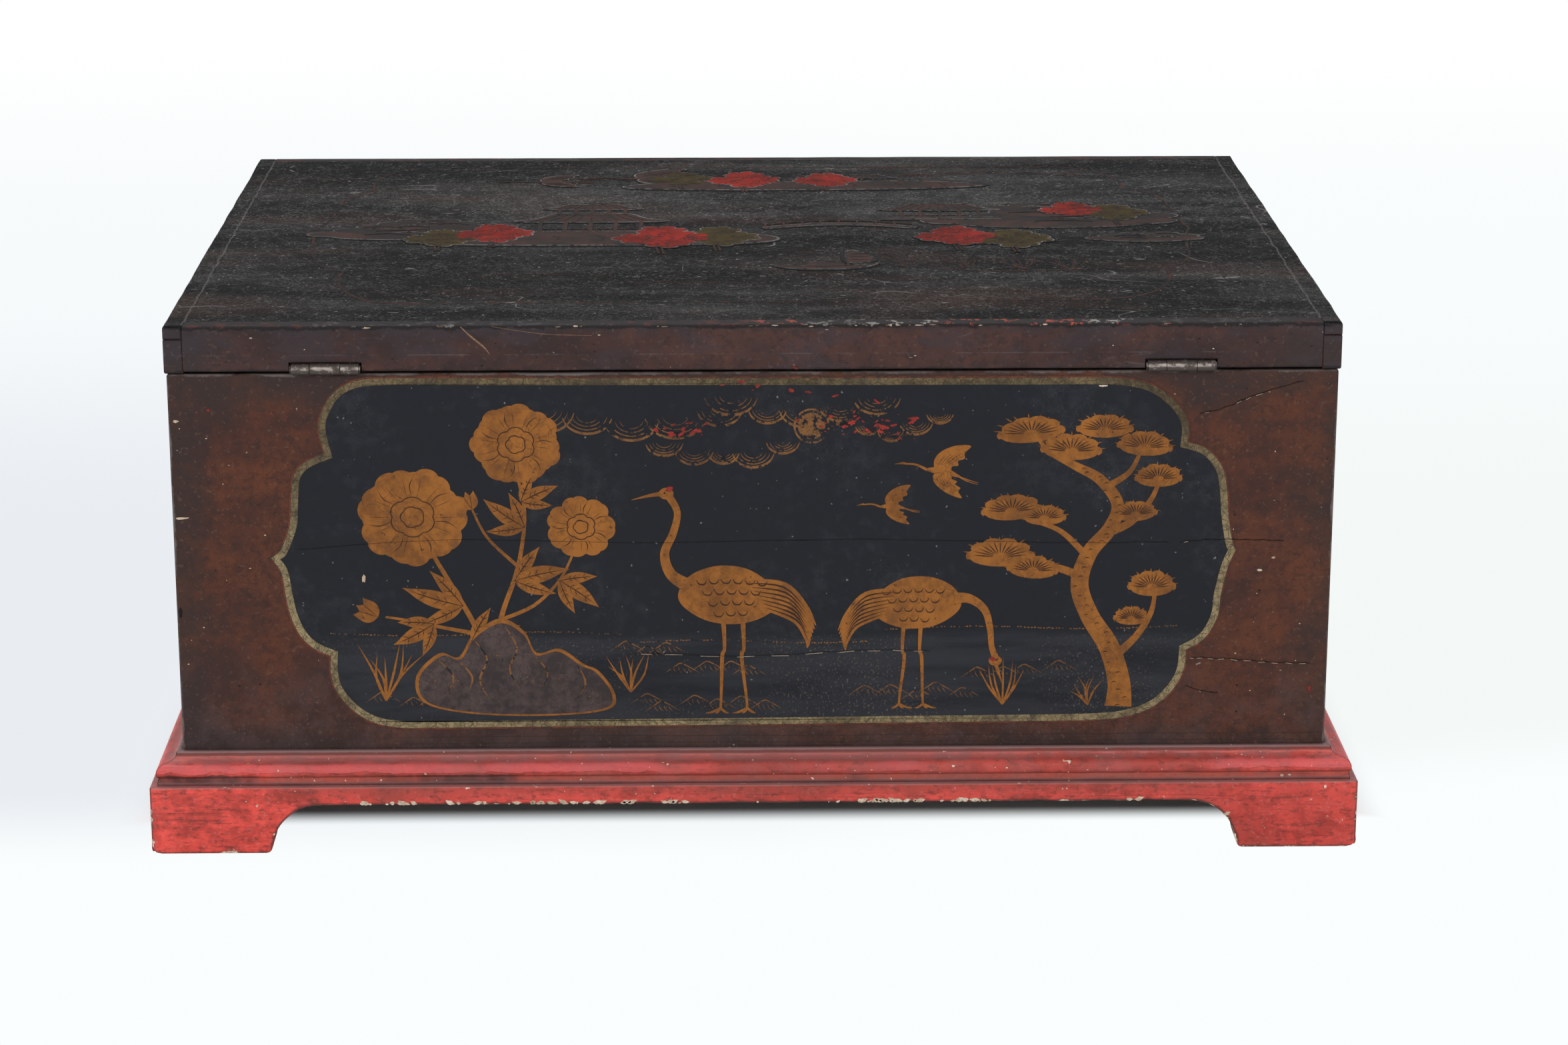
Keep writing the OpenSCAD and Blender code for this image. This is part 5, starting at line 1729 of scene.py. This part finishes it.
def moon(pic, x, y, r):
    ring = [polar(x, y, r, r, 2 * pi * i / 28) for i in range(28)]
    pic.put("faint", blob(x, y, r * 0.8, r * 0.8, 0.02))
    pic.brush("faint", [(px, py, 1.1) for px, py in ring + ring[:1]], steps=1)


def shore(pic, x0, x1, y, seed=0):
    """A line of dots with small breaks, where the water starts."""
    draw = random.Random(seed)
    x = x0
    while x < x1:
        step = draw.uniform(1.1, 2.2)
        if draw.random() > 0.12:
            pic.put("faint", blob(x, y + 0.9 * sin(x * 0.05 + seed) + draw.uniform(-0.2, 0.2), step * 0.42, 0.42,
                steps=6))
        x += step


def waves(pic, x, y, count, seed=0):
    draw = random.Random(seed)
    for i in range(count):
        px, py = x + 13 * i + draw.uniform(-3, 3), y + draw.uniform(-2.5, 2.5)
        ridge = [(px - 9, py - 3.0), (px - 3, py + 1.2), (px, py + 2.8), (px + 4, py + 1.0), (px + 10, py - 2.6)]
        pic.brush("faint", ridge, 0.8, ends=(0.2, 0.2), steps=4)
        for k in range(4):
            comb = [(px - 4 + 2.6 * k, py + 1.4 - 0.5 * abs(k - 1)), (px - 3.4 + 2.6 * k, py - 1.0),
                (px - 1.8 + 2.6 * k, py - 3.0)]
            pic.brush("faint", comb, 0.5, steps=2)


# %% Paint the back
def red_wear(pic, x, y, spread, count, seed):
    """Small flakes of the red ground showing through."""
    draw = random.Random(seed)
    for i in range(count):
        r = draw.uniform(0.25, 1.3) ** 1.5
        px, py = x + draw.gauss(0, spread), y + draw.gauss(0, spread * 0.35)
        pic.put("red", blob(px, py, r * draw.uniform(1, 2.2), r * 0.7, 0.5, i + seed, draw.uniform(-0.7, 0.7),
            steps=9))


GILDING = {
    "faint": (paint_faint, 0.16), "gold": (paint_gold, 0.2), "line": (paint_line, 0.27), "rock": (paint_rock, 0.3),
    "red": (paint_red, 0.3), "crack": (paint_crack, 0.34), "cream": (paint_cream, 0.36),
}
picture = Picture("back", back, GILDING)
shore(picture, -224, -70, 117, 1)
shore(picture, 70, 224, 119, 2)
shore(picture, -60, 60, 112, 3)
for x, y, count, seed in ((-196, 80, 4, 1), (-60, 78, 6, 2), (60, 84, 5, 3), (120, 96, 4, 4), (-40, 96, 4, 5),
    (-70, 108, 3, 6)):
    waves(picture, x, y, count, seed)
for x, y, width, seed in ((-64, 241, 92, 1), (26, 246, 76, 2), (-16, 223, 62, 3), (72, 236, 50, 4)):
    cloud(picture, x, y, width, seed)
moon(picture, 30, 230, 9)
red_wear(picture, 60, 232, 13, 46, 1)
red_wear(picture, -40, 229, 9, 18, 2)
red_wear(picture, 14, 251, 16, 14, 3)
pine(picture.placed(168, 158, size=0.96))
crane(picture.placed(-12, 131, size=1.14))
crane(picture.placed(84, 127, size=1.02, flip=True), feeding=True)
flying(picture.placed(98, 205, turn=-12, size=0.62))
flying(picture.placed(72, 186, turn=-4, size=0.46))
peonies(picture.placed(-150, 160, size=0.98))
rock(picture.placed(-128, 99, size=1.0))
picture.placed()
tuft(picture, -196, 80, 8, 32, 30, 84, 1.3, seed=1)
tuft(picture, -66, 84, 7, 22, 34, 96, 1.1, seed=2)
tuft(picture, 132, 76, 7, 24, 30, 92, 1.1, seed=3)

# %% [markdown]
# ## Small damage
# A few marks are placed where the photograph has them: cracks that run in from the right
# edge, nicks on the left edge, tiny red and cream losses. A crack is a chain of short dark strokes
# with a little pale dust along one side.

# %% Cracks and nicks


def split_line(pic, points, width=0.5, pale=0.35, seed=0):
    """A crack through the points, dark with broken pale dust beside it."""
    draw = random.Random(seed)
    path = [(x + draw.uniform(-0.3, 0.3), y + draw.uniform(-0.3, 0.3)) for x, y in smooth_line(points, 7)]
    for i in range(0, len(path) - 2, 2):
        pic.brush("crack", path[i : i + 3], width * draw.uniform(0.5, 1.2), ends=(0.5, 0.5), steps=2)
        if draw.random() < pale:
            pic.brush("cream", [(x, y - 0.45) for x, y in path[i : i + 2]], 0.28, ends=(0.4, 0.4), steps=2)


for points, width, pale in (
    ([(233, 236), (246, 239), (262, 246), (289, 254)], 0.55, 0.3), ([(224, 166), (238, 167), (262, 167), (281,
        166)], 0.5, 0.15),
    ([(230, 86), (238, 83), (247, 82)], 0.45, 0.2), ([(232, 102), (250, 101), (275, 99), (298, 98)], 0.22, 0.95),
    ([(-240, 164), (-160, 169), (-60, 167), (60, 168), (160, 166), (224, 166)], 0.18, 0.0),
    ([(-60, 106), (0, 104), (60, 107), (96, 106)], 0.2, 0.8),
):
    split_line(picture, points, width, pale, seed=len(points))
draw = random.Random(31)
for i in range(46):
    x, y = draw.choice((-1, 1)) * draw.uniform(250, 302), draw.uniform(62, 256)
    picture.put(draw.choice(("cream", "cream", "crack", "red")),
        blob(x, y, draw.uniform(0.2, 0.65), draw.uniform(0.15, 0.4), 0.5, i, steps=8))
for key, x, y, rx, ry in (
    ("cream", -301, 234, 1.6, 0.7), ("cream", -300, 181.5, 3.4, 0.7), ("red", -284, 240, 1.0, 0.8),
        ("red", 296, 84, 0.8, 1.5), ("cream", -206, 148, 1.1, 2.2),
    ("cream", 274, 157, 1.1, 0.6), ("cream", 267, 150, 1.5, 0.6), ("cream", 182, 251, 2.2, 0.5),
        ("red", 2, 252, 1.8, 1.2), ("crack", -303, 130, 0.8, 2.4),
):
    picture.put(key, blob(x, y, rx, ry, 0.6, rx, steps=12))
picture.pieces()
# %% [markdown]
# ## The other sides
# Only the back shows in the photograph. A box painted there is painted all round, so the front and
# the ends carry the same kind of panel. The frame's line is squeezed to fit each end, and the
# motifs are used again at other sizes.


# %% Lake scene motifs
def roof(pic, x, y, width, height):
    """A curved roof with turned-up corners and lines of tiles."""
    eave = [(-0.56, 0.1), (-0.4, 0.0), (0.0, -0.03), (0.4, 0.0), (0.56, 0.1)]
    ridge = [(0.3, 0.86), (0.24, 1.0), (0.0, 0.95), (-0.24, 1.0), (-0.3, 0.86)]
    right = [(0.44, 0.26), (0.36, 0.52)]
    left = [(-0.36, 0.52), (-0.44, 0.26)]
    outline = smooth_line([(x + a * width, y + b * height) for a, b in eave + right + ridge + left], 4, closed=True)
    pic.put("gold", outline)
    for i in range(-4, 5):
        a = i / 4.4
        tile = [(x + a * 0.25 * width, y + 0.88 * height), (x + a * 0.33 * width, y + 0.5 * height),
            (x + a * 0.44 * width, y + 0.08 * height)]
        pic.brush("line", tile, 0.7, steps=3)
    pic.brush("line", [(x - 0.26 * width, y + 0.9 * height), (x, y + 0.86 * height),
        (x + 0.26 * width, y + 0.9 * height)], 0.8, steps=3)


def pavilion(pic, floors=1, width=46.0):
    base = [(-width * 0.62, -4), (width * 0.62, -4), (width * 0.58, 0), (-width * 0.58, 0)]
    pic.put("gold", base)
    y, w = 0.0, width
    for _ in range(floors):
        tall = 17 * w / 46
        for i in range(5):
            px = -w * 0.4 + w * 0.8 * i / 4
            pic.put("gold", [(px - 1.0, y - 0.5), (px + 1.0, y - 0.5), (px + 1.0, y + tall + 2),
                (px - 1.0, y + tall + 2)])
        pic.put("gold", [(-w * 0.42, y + 4.6), (w * 0.42, y + 4.6), (w * 0.42, y + 5.6), (-w * 0.42, y + 5.6)])
        for i in range(8):
            px = -w * 0.38 + w * 0.76 * i / 7
            pic.put("gold", [(px - 0.35, y), (px + 0.35, y), (px + 0.35, y + 5), (px - 0.35, y + 5)])
        roof(pic, 0, y + tall, w * 1.12, 14 * w / 46)
        y, w = y + tall + 11 * w / 46, w * 0.66
    pic.brush("gold", [(0, y + 1, 2.0), (0, y + 6, 1.2), (0, y + 10, 0.3)], steps=3)


def hill(pic, points, key="faint", lines=7, depth=16):
    """A mountain ridge in outline, with strokes that run down from it."""
    ridge = smooth_line(points, 5)
    pic.brush(key, [(x, y, 1.5) for x, y in ridge], steps=1)
    for i in range(lines):
        x, y = ridge[(i + 1) * (len(ridge) - 1) // (lines + 1)]
        drop = depth * (0.6 + 0.4 * sin(i * 2.1))
        pic.brush(key, [(x, y - 1.5), (x - 2 + i % 3, y - drop * 0.5), (x - 3 + 2 * (i % 3), y - drop)], 1.0, steps=3)


def island(pic, points):
    shape = smooth_line(points, 5, closed=True)
    pic.put("gold", shape)
    xs = [p[0] for p in points]
    low, high = min(xs), max(xs)
    for i in range(1, 8):
        x = low + (high - low) * i / 8
        pic.brush("line", [(x, 3 - abs(i - 4) * 0.6), (x + 2.5, 0), (x + 1.5, -4)], 0.8, steps=3)


def boat(pic):
    pic.brush("gold", [(-19, 4, 1.2), (-12, 0, 4.0), (0, -1.4, 4.6), (12, 0, 3.8), (20, 5, 0.8)], steps=5)
    pic.put("gold", smooth_line([(-6, 1), (-5, 6), (0, 8), (6, 6), (7, 1)], 4, closed=True))
    pic.brush("gold", [(9, 1, 1.2), (9.5, 16, 1.0), (9, 30, 0.4)], steps=3)
    pic.put("gold", smooth_line([(10, 28), (17, 20), (18, 10), (10, 7)], 4, closed=True))
    for i in range(3):
        pic.brush("line", [(10.5, 11 + 5 * i), (14, 11.5 + 5 * i), (17, 12 + 4.6 * i)], 0.7, steps=3)
    pic.brush("line", [(-14, 1.6), (0, 0.4), (14, 2.0)], 0.8, steps=3)


def bridge(pic, width=46.0):
    for y, w in ((0, 3.0), (7, 1.0)):
        pic.brush("gold", [(-width / 2, y, w), (-width / 4, y + 6, w), (0, y + 8, w), (width / 4, y + 6, w),
            (width / 2, y, w)], steps=5)
    for i in range(9):
        x = -width / 2 + width * i / 8
        y = 8 * (1 - (2 * x / width) ** 2)
        pic.brush("gold", [(x, y, 1.2), (x, y + 4, 1.0), (x, y + 8.6, 1.4)], steps=2)


# %% [markdown]
# ## Front
# The lake scene leaves the middle free for the lock's key plate: hills and two geese in the sky, a
# house on an island at the left, a bridge, a boat and a pine at the right.

# %% Paint the front
framed("front", front)
view = Picture("front", front, GILDING)
shore(view, -222, 220, 118, 7)
for x, y, count, seed in ((-190, 80, 7, 8), (-40, 90, 6, 9), (90, 82, 6, 10), (20, 108, 5, 11), (150, 104, 4, 12)):
    waves(view, x, y, count, seed)
hill(view, [(-60, 150), (-44, 172), (-30, 164), (-8, 196), (10, 178), (30, 188), (52, 158), (70, 150)], lines=11)
hill(view, [(40, 150), (66, 168), (84, 160), (104, 180), (126, 152)], lines=7)
for x, y, width, seed in ((-120, 244, 80, 5), (110, 244, 90, 6), (60, 226, 50, 7)):
    cloud(view, x, y, width, seed)
island(view.placed(-140, 112), [(-62, -4), (-50, 8), (-20, 10), (10, 7), (40, 9), (58, 0), (50, -8), (10, -11),
    (-40, -10)])
pavilion(view.placed(-146, 120, size=1.0), floors=2, width=50)
needles(view.placed(-196, 160, size=0.9), 0, 0, 15, 9, 3)
view.brush("gold", [(0, 0, 3), (4, -20, 3.4), (1, -44, 4.4)], steps=4)
needles(view, 16, -12, 12, 7.5, 4)
view.brush("gold", [(3, -24, 2.4), (12, -17, 2.0), (16, -12, 1.4)], steps=3)
bridge(view.placed(-52, 116), 60)
boat(view.placed(34, 116, size=1.05))
island(view.placed(150, 104), [(-48, -3), (-36, 6), (-6, 9), (26, 8), (50, 2), (44, -8), (4, -11), (-36, -9)])
pine(view.placed(138, 160, size=0.66))
crane(view.placed(104, 142, size=0.62))
rock(view.placed(196, 100, size=0.48))
flying(view.placed(70, 214, turn=-10, size=0.5))
flying(view.placed(-52, 220, turn=-6, size=0.46))
tuft(view.placed(), -206, 92, 7, 24, 34, 88, 1.2, seed=14)
tuft(view, 96, 82, 8, 20, 34, 92, 1.1, seed=15)
view.pieces()

# %% [markdown]
# ## Ends
# Each end has a shorter frame. One shows peonies by a rock, the other a pine with a crane under it.

# %% Paint the ends
END_SIZE = (0.735, 1.0)
for name, face in (("right", right_end), ("left", left_end)):
    framed(name, face, END_SIZE)
    view = Picture(name, face, GILDING)
    shore(view, -160, 158, 116, 21)
    waves(view, -120, 84, 5, 22)
    waves(view, 20, 92, 5, 23)
    cloud(view, -60 if name == "left" else 60, 240, 80, 24)
    if name == "right":
        peonies(view.placed(-60, 158, size=0.95))
        rock(view.placed(-38, 98, size=0.95))
        flying(view.placed(90, 206, turn=-10, size=0.62))
        tuft(view.placed(), 66, 84, 8, 30, 32, 90, 1.2, seed=25)
        leaf(view, 66, 84, 44, 8, 70, 0.15, veins=0)
    else:
        pine(view.placed(92, 158, size=0.94))
        crane(view.placed(-40, 131, size=1.14))
        flying(view.placed(-60, 214, turn=-8, size=0.5))
        tuft(view.placed(), -110, 84, 8, 30, 32, 90, 1.2, seed=26)
    view.pieces()

# %% [markdown]
# ## Raised work on the lid
# The lid's picture is modelled in the ground and lacquered dark brown, with red and olive trees,
# and its high edges are pale, partly worn and partly a painted highlight. Here it is a lake shore with a house, a
# bridge and crags inside a lobed line. The same motifs serve again, only the paints are higher. Every big shape gets
# a pale rim of painted highlight, broken by wear, in a dark groove of painted shade, which are its own outline twice
# more, grown a little.

# %% Lid motifs
LID_BLACK = (0.012, 0.011, 0.011)
relief_brown = plain_paint("relief_brown", (0.046, 0.018, 0.0125), (0.011, 0.0085, 0.0078), scale=45, specular=0.12)
relief_dark = plain_paint("relief_dark", (0.024, 0.014, 0.0115), (0.008, 0.007, 0.007), scale=60, specular=0.12)
relief_red = powder_gold("relief_red", (0.24, 0.017, 0.011), (0.095, 0.01, 0.007), 0.42, (0.035, 0.012, 0.01), 0.03)
relief_olive = powder_gold("relief_olive", (0.055, 0.039, 0.012), (0.028, 0.02, 0.009), 0.43, (0.018, 0.013, 0.009),
    0.03)
# The pale rims round the raised shapes are painted highlight broken by wear; the same paint gives scrapes and pale
# cut lines. The dark groove under each rim is painted shade.
rim_highlight_and_scrape = powder_gold("rim_highlight_and_scrape", (0.155, 0.15, 0.146), (0.06, 0.058, 0.056), 0.48, LID_BLACK, 0.05)
engraved = powder_gold("engraved_red", (0.06, 0.023, 0.016), (0.03, 0.014, 0.011), 0.52, LID_BLACK, 0.05)
hollow = plain_paint("relief_hollow", (0.0075, 0.007, 0.007), (0.004, 0.004, 0.0042), scale=60, specular=0.1)
RELIEF = {
    "hollow": (hollow, 0.05), "rim": (rim_highlight_and_scrape, 0.1), "faint": (engraved, 0.12), "rock": (relief_dark, 0.3),
        "gold": (relief_brown, 0.42),
    "line": (paint_crack, 0.54), "olive": (relief_olive, 0.48), "red": (relief_red, 0.5),
}


class Relief(Picture):
    """The rim of a shape lies just under its own face, so it also shows on the shapes below."""
    BIG, RIM_GROWTH, HOLLOW_GROWTH = 150, 1.0, 2.6

    def put(self, key, *outlines, lift=0.0):
        super().put(key, *outlines, lift=lift)
        for outline in outlines:
            loop = outline if area(outline) > 0 else outline[::-1]
            if key not in ("faint", "line", "rim") and area(loop) > self.BIG:
                # Each big shape gets a pale rim of painted highlight, partly worn, and a wider dark groove of painted
                # shade under it.
                super().put("rim", shrunk(loop, -self.RIM_GROWTH), lift=RELIEF[key][1] + lift - 0.16)
                super().put("hollow", shrunk(loop, -self.HOLLOW_GROWTH), lift=RELIEF[key][1] + lift - 0.15)


def tree(pic, x, y, size, key, seed=0):
    """A tree of four heads with drooping lobes, dark lines between the lobes and a thin trunk."""
    for side in (-1.6, 1.6):
        trunk = [(x + side * size, y - 6 * size, 1.8), (x - (2 - side) * size, y + 16 * size, 1.4),
            (x, y + 36 * size, 1.2)]
        pic.brush("faint", trunk, steps=4, lift=0.33)
    for i, (dx, dy) in enumerate(((-15, 42), (14, 46), (0, 64), (2, 30))):
        cx, cy = x + dx * size, y + dy * size
        pic.put(key, scalloped(cx, cy, 13 * size, 13 * size, 7, 0.42, seed=seed + i))
        for k in range(6):
            a = radians(200 + 28 * k + 9 * seed)
            ray = [(cx + r * size * cos(a), cy + r * size * sin(a), w) for r, w in ((3, 0.5), (9, 0.9), (14, 0.4))]
            pic.brush("line", ray, steps=2)


def crag(pic, x, y, size, steps, seed=0):
    """Rock in steps, each slab smaller than the one below, with cut lines on it."""
    draw = random.Random(seed)
    for i in range(steps):
        rx, ry = size * (1 - 0.16 * i), size * 0.42 * (1 - 0.1 * i)
        pic.put("rock" if i % 2 else "gold", scalloped(x, y, rx, ry, 4, 0.34, -8, 188, seed + i),
            lift=0.02 * i - (0.0 if i % 2 else 0.12))
        for k in range(3):
            cx, cy = x + rx * draw.uniform(-0.5, 0.5), y + ry * (0.15 + 0.25 * k)
            pic.brush("rim" if k % 2 else "line", [(cx - rx * 0.3, cy), (cx, cy + 3), (cx + rx * 0.3, cy - 1)], 1.6,
                steps=3, lift=0.36 * (k % 2))
        x, y = x + draw.uniform(-0.25, 0.25) * size, y + ry * 0.6


# %% Model the lid
view = Relief("lid", top, RELIEF)
line = [(x, (y - 160) * 1.95 + 8, 1.7) for x, y in lobed(0.0)]
view.brush("faint", line + line[:1], steps=1)
crag(view, -196, -6, 44, 4, 3)
crag(view, 176, 24, 56, 4, 5)
crag(view, 226, -22, 26, 2, 8)
island(view.placed(-84, -14, size=1.7), [(-62, -4), (-50, 8), (-20, 10), (10, 7), (40, 9), (58, 0), (50, -8),
    (10, -11), (-40, -10)])
pavilion(view.placed(-92, 4, size=1.35), floors=2, width=54)
pavilion(view.placed(112, 40, size=1.1), floors=1, width=52)
bridge(view.placed(52, 12, size=1.3), 66)
island(view.placed(30, 138, size=1.5), [(-70, -4), (-50, 6), (-20, 9), (10, 4), (44, 8), (76, -1), (40, -8),
    (-30, -9)])
pavilion(view.placed(70, 146, size=0.7), floors=1, width=50)
view.placed()
for x, y, size, key, seed in (
    (-176, -44, 0.66, "olive", 1), (-146, -34, 0.72, "red", 2), (-18, -46, 0.74, "olive", 3),
        (-2, 122, 0.7, "red", 4), (-40, 130, 0.6, "olive", 5),
    (118, -46, 0.74, "red", 6), (150, -52, 0.7, "olive", 7), (214, 22, 0.66, "olive", 8),
        (-50, -52, 0.84, "red", 9), (190, 34, 0.6, "red", 10),
    (48, 124, 0.62, "red", 11),
):
    tree(view, x, y, size, key, seed)
boat(view.placed(40, -92, size=1.5))
flying(view.placed(-60, 160, size=1.1))
flying(view.placed(-120, 150, size=0.8))
view.placed()
for x in (86, 120, 150, 176):
    tuft(view, x, -84 - x * 0.1, 9, 34, 26, 100, 1.1, key="faint", seed=x)
view.brush("faint", [(20, -70, 1.0), (80, -88, 1.6), (140, -104, 1.8), (196, -96, 1.0)], steps=6)
waves(view, -150, -110, 6, 31)
waves(view, -60, -130, 5, 32)
cloud(view, 150, 160, 90, 33, flip=-1)
for x, y, rx, ry in ((257, -123, 8, 2.6), (-30, -160, 5, 1.6), (112, -30, 4, 2), (-236, 120, 4, 2),
    (60, 170, 6, 1.4)):
    view.put("rim", blob(x, y, rx, ry, 0.7, x, 0.15, 16), lift=0.02)
view.pieces()

# %% [markdown]
# ## Scratches on the back rail
# Two tan scratches cross the lid's back rail near the left hinge, and the black top coat has lifted
# from its arris in short white and red chips.

# %% Rail marks
rail = Face((1, 0, 0), (0, 0, 1), -lid_low.y, "lid", "lid_edge_lacquer")
paint_tan = plain_paint("tan_scratch", (0.26, 0.15, 0.085), (0.13, 0.075, 0.048), scale=150)
marks = Picture("rail", rail, {"tan": (paint_tan, 0.06), "cream": (paint_cream, 0.06), "red": (paint_red, 0.05),
    "crack": (paint_crack, 0.05)})
marks.brush("tan", [(-152, 284, 0.3), (-147, 279, 0.9), (-140, 273, 0.8), (-137, 269, 0.2)], steps=4)
marks.brush("tan", [(-136, 284, 0.15), (-110, 280, 0.25), (-84, 279, 0.15)], steps=4)
draw = random.Random(8)
for i in range(34):
    x, run = draw.triangular(-296, 296, 170), draw.uniform(0.4, 2.0)
    key = "red" if 118 < x < 232 and draw.random() < 0.6 else draw.choice(("cream", "tan"))
    marks.put(key, blob(x, 283.8 + draw.uniform(-0.4, 0.4), run, draw.uniform(0.12, 0.36), 0.8, i, steps=9))
for i in range(60):
    x, z = draw.uniform(-300, 300), draw.uniform(261, 283)
    marks.put(draw.choice(("cream", "crack", "crack")), blob(x, z, draw.uniform(0.2, 0.9), draw.uniform(0.12, 0.3),
        0.5, i, steps=8))
marks.pieces()

# %% [markdown]
# ## Flakes along the arch
# Where feet and brooms knock the plinth, the lacquer has left small cream flakes of bare ground.
# Geometry Nodes scatter them: points along the arch's edge, kept where a noise is high, each with
# its own size and turn. A flake is a thin nine-sided chip, closed all round.

# %% Flakes
FLAKE_STEP, FLAKE_SHARE = 1.1 * MM, 0.375


def flake_scatter():
    t = Builder("flake_scatter", Flake="Object", Spacing="Float", Amount="Float", Seed="Int", Material="Material")

    def draw(low, high, more):
        seed = t.given("Seed") + more
        return t.node("FunctionNodeRandomValue", {"data_type": "FLOAT"}, {2: low, 3: high, "Seed": seed}, out=1)

    points = t.node("GeometryNodeCurveToPoints", {"mode": "LENGTH"},
        {"Curve": t.given("Geometry"), "Length": t.given("Spacing")})
    patch = t.node("ShaderNodeTexNoise", sockets={"Vector": t.node("GeometryNodeInputPosition"), "Scale": 24.0,
        "Detail": 2.0})
    kept = t.node("ShaderNodeMath", {"operation": "GREATER_THAN"},
        {0: patch * 0.7 + draw(0.0, 0.3, 1), 1: 1 - t.given("Amount")})
    size = draw(0.5, 2.2, 2)
    offset = t.node("ShaderNodeCombineXYZ", sockets={0: draw(-0.0015, 0.0015, 3), 2: size * 0.00055})
    placed = t.node("GeometryNodeSetPosition", sockets={"Geometry": points, "Offset": offset})
    shape = t.node("GeometryNodeObjectInfo", sockets={"Object": t.given("Flake")}, out="Geometry")
    turn = t.node("ShaderNodeCombineXYZ", sockets={1: draw(-0.5, 0.5, 4)})
    scale = t.node("ShaderNodeCombineXYZ", sockets={0: size * draw(1.0, 2.6, 5), 1: 1.0, 2: size})
    sockets = {"Points": placed, "Selection": kept, "Instance": shape, "Rotation": turn, "Scale": scale}
    return t.ending(t.node("GeometryNodeInstanceOnPoints", sockets=sockets))


def flake_mesh():
    rim = [(cos(a) * r, sin(a) * r) for a, r in zip([i * 2 * pi / 9 for i in range(9)],
        (1.1, 0.8, 1.0, 0.9, 1.2, 0.8, 1.0, 1.1, 0.8))]
    rings = [[(x * k * MM * 0.6, y, z * k * MM * 0.6) for x, z in rim] for y,
        k in ((0.0002, 1.0), (-0.00004, 0.95), (-0.00007, 0.7))]
    verts, faces = loft(rings)
    flake = mesh_piece("flake", verts, faces, paint_cream)
    guides.append(flake)
    return flake


scatter, flake = flake_scatter(), flake_mesh()
for side, (name, half, deep, turn) in enumerate(SIDES):
    arch = [(x, z) for x, z in foot_outline(half + PLINTH_OUT) if 0.006 < z < BASE_H * 0.8 and abs(x) < half - 0.04]
    line = guide("arch_" + name, [(x, -deep - PLINTH_OUT + FACE_BACK, z) for x, z in arch])
    data = grown("flakes_" + name, line, scatter, Flake=flake, Spacing=FLAKE_STEP, Amount=FLAKE_SHARE, Seed=3 + side,
        Material=paint_cream)
    data.transform(turn)
    finish_piece(shown("flakes_" + name, data), "case", "plinth_lacquer")
    print("flakes_" + name, len(data.polygons), "faces")
# %% [markdown]
# ## Finish
# The curves that only guided the sweeps go.

# %% Finish
for thing in guides:
    bpy.data.objects.remove(thing, do_unlink=True)
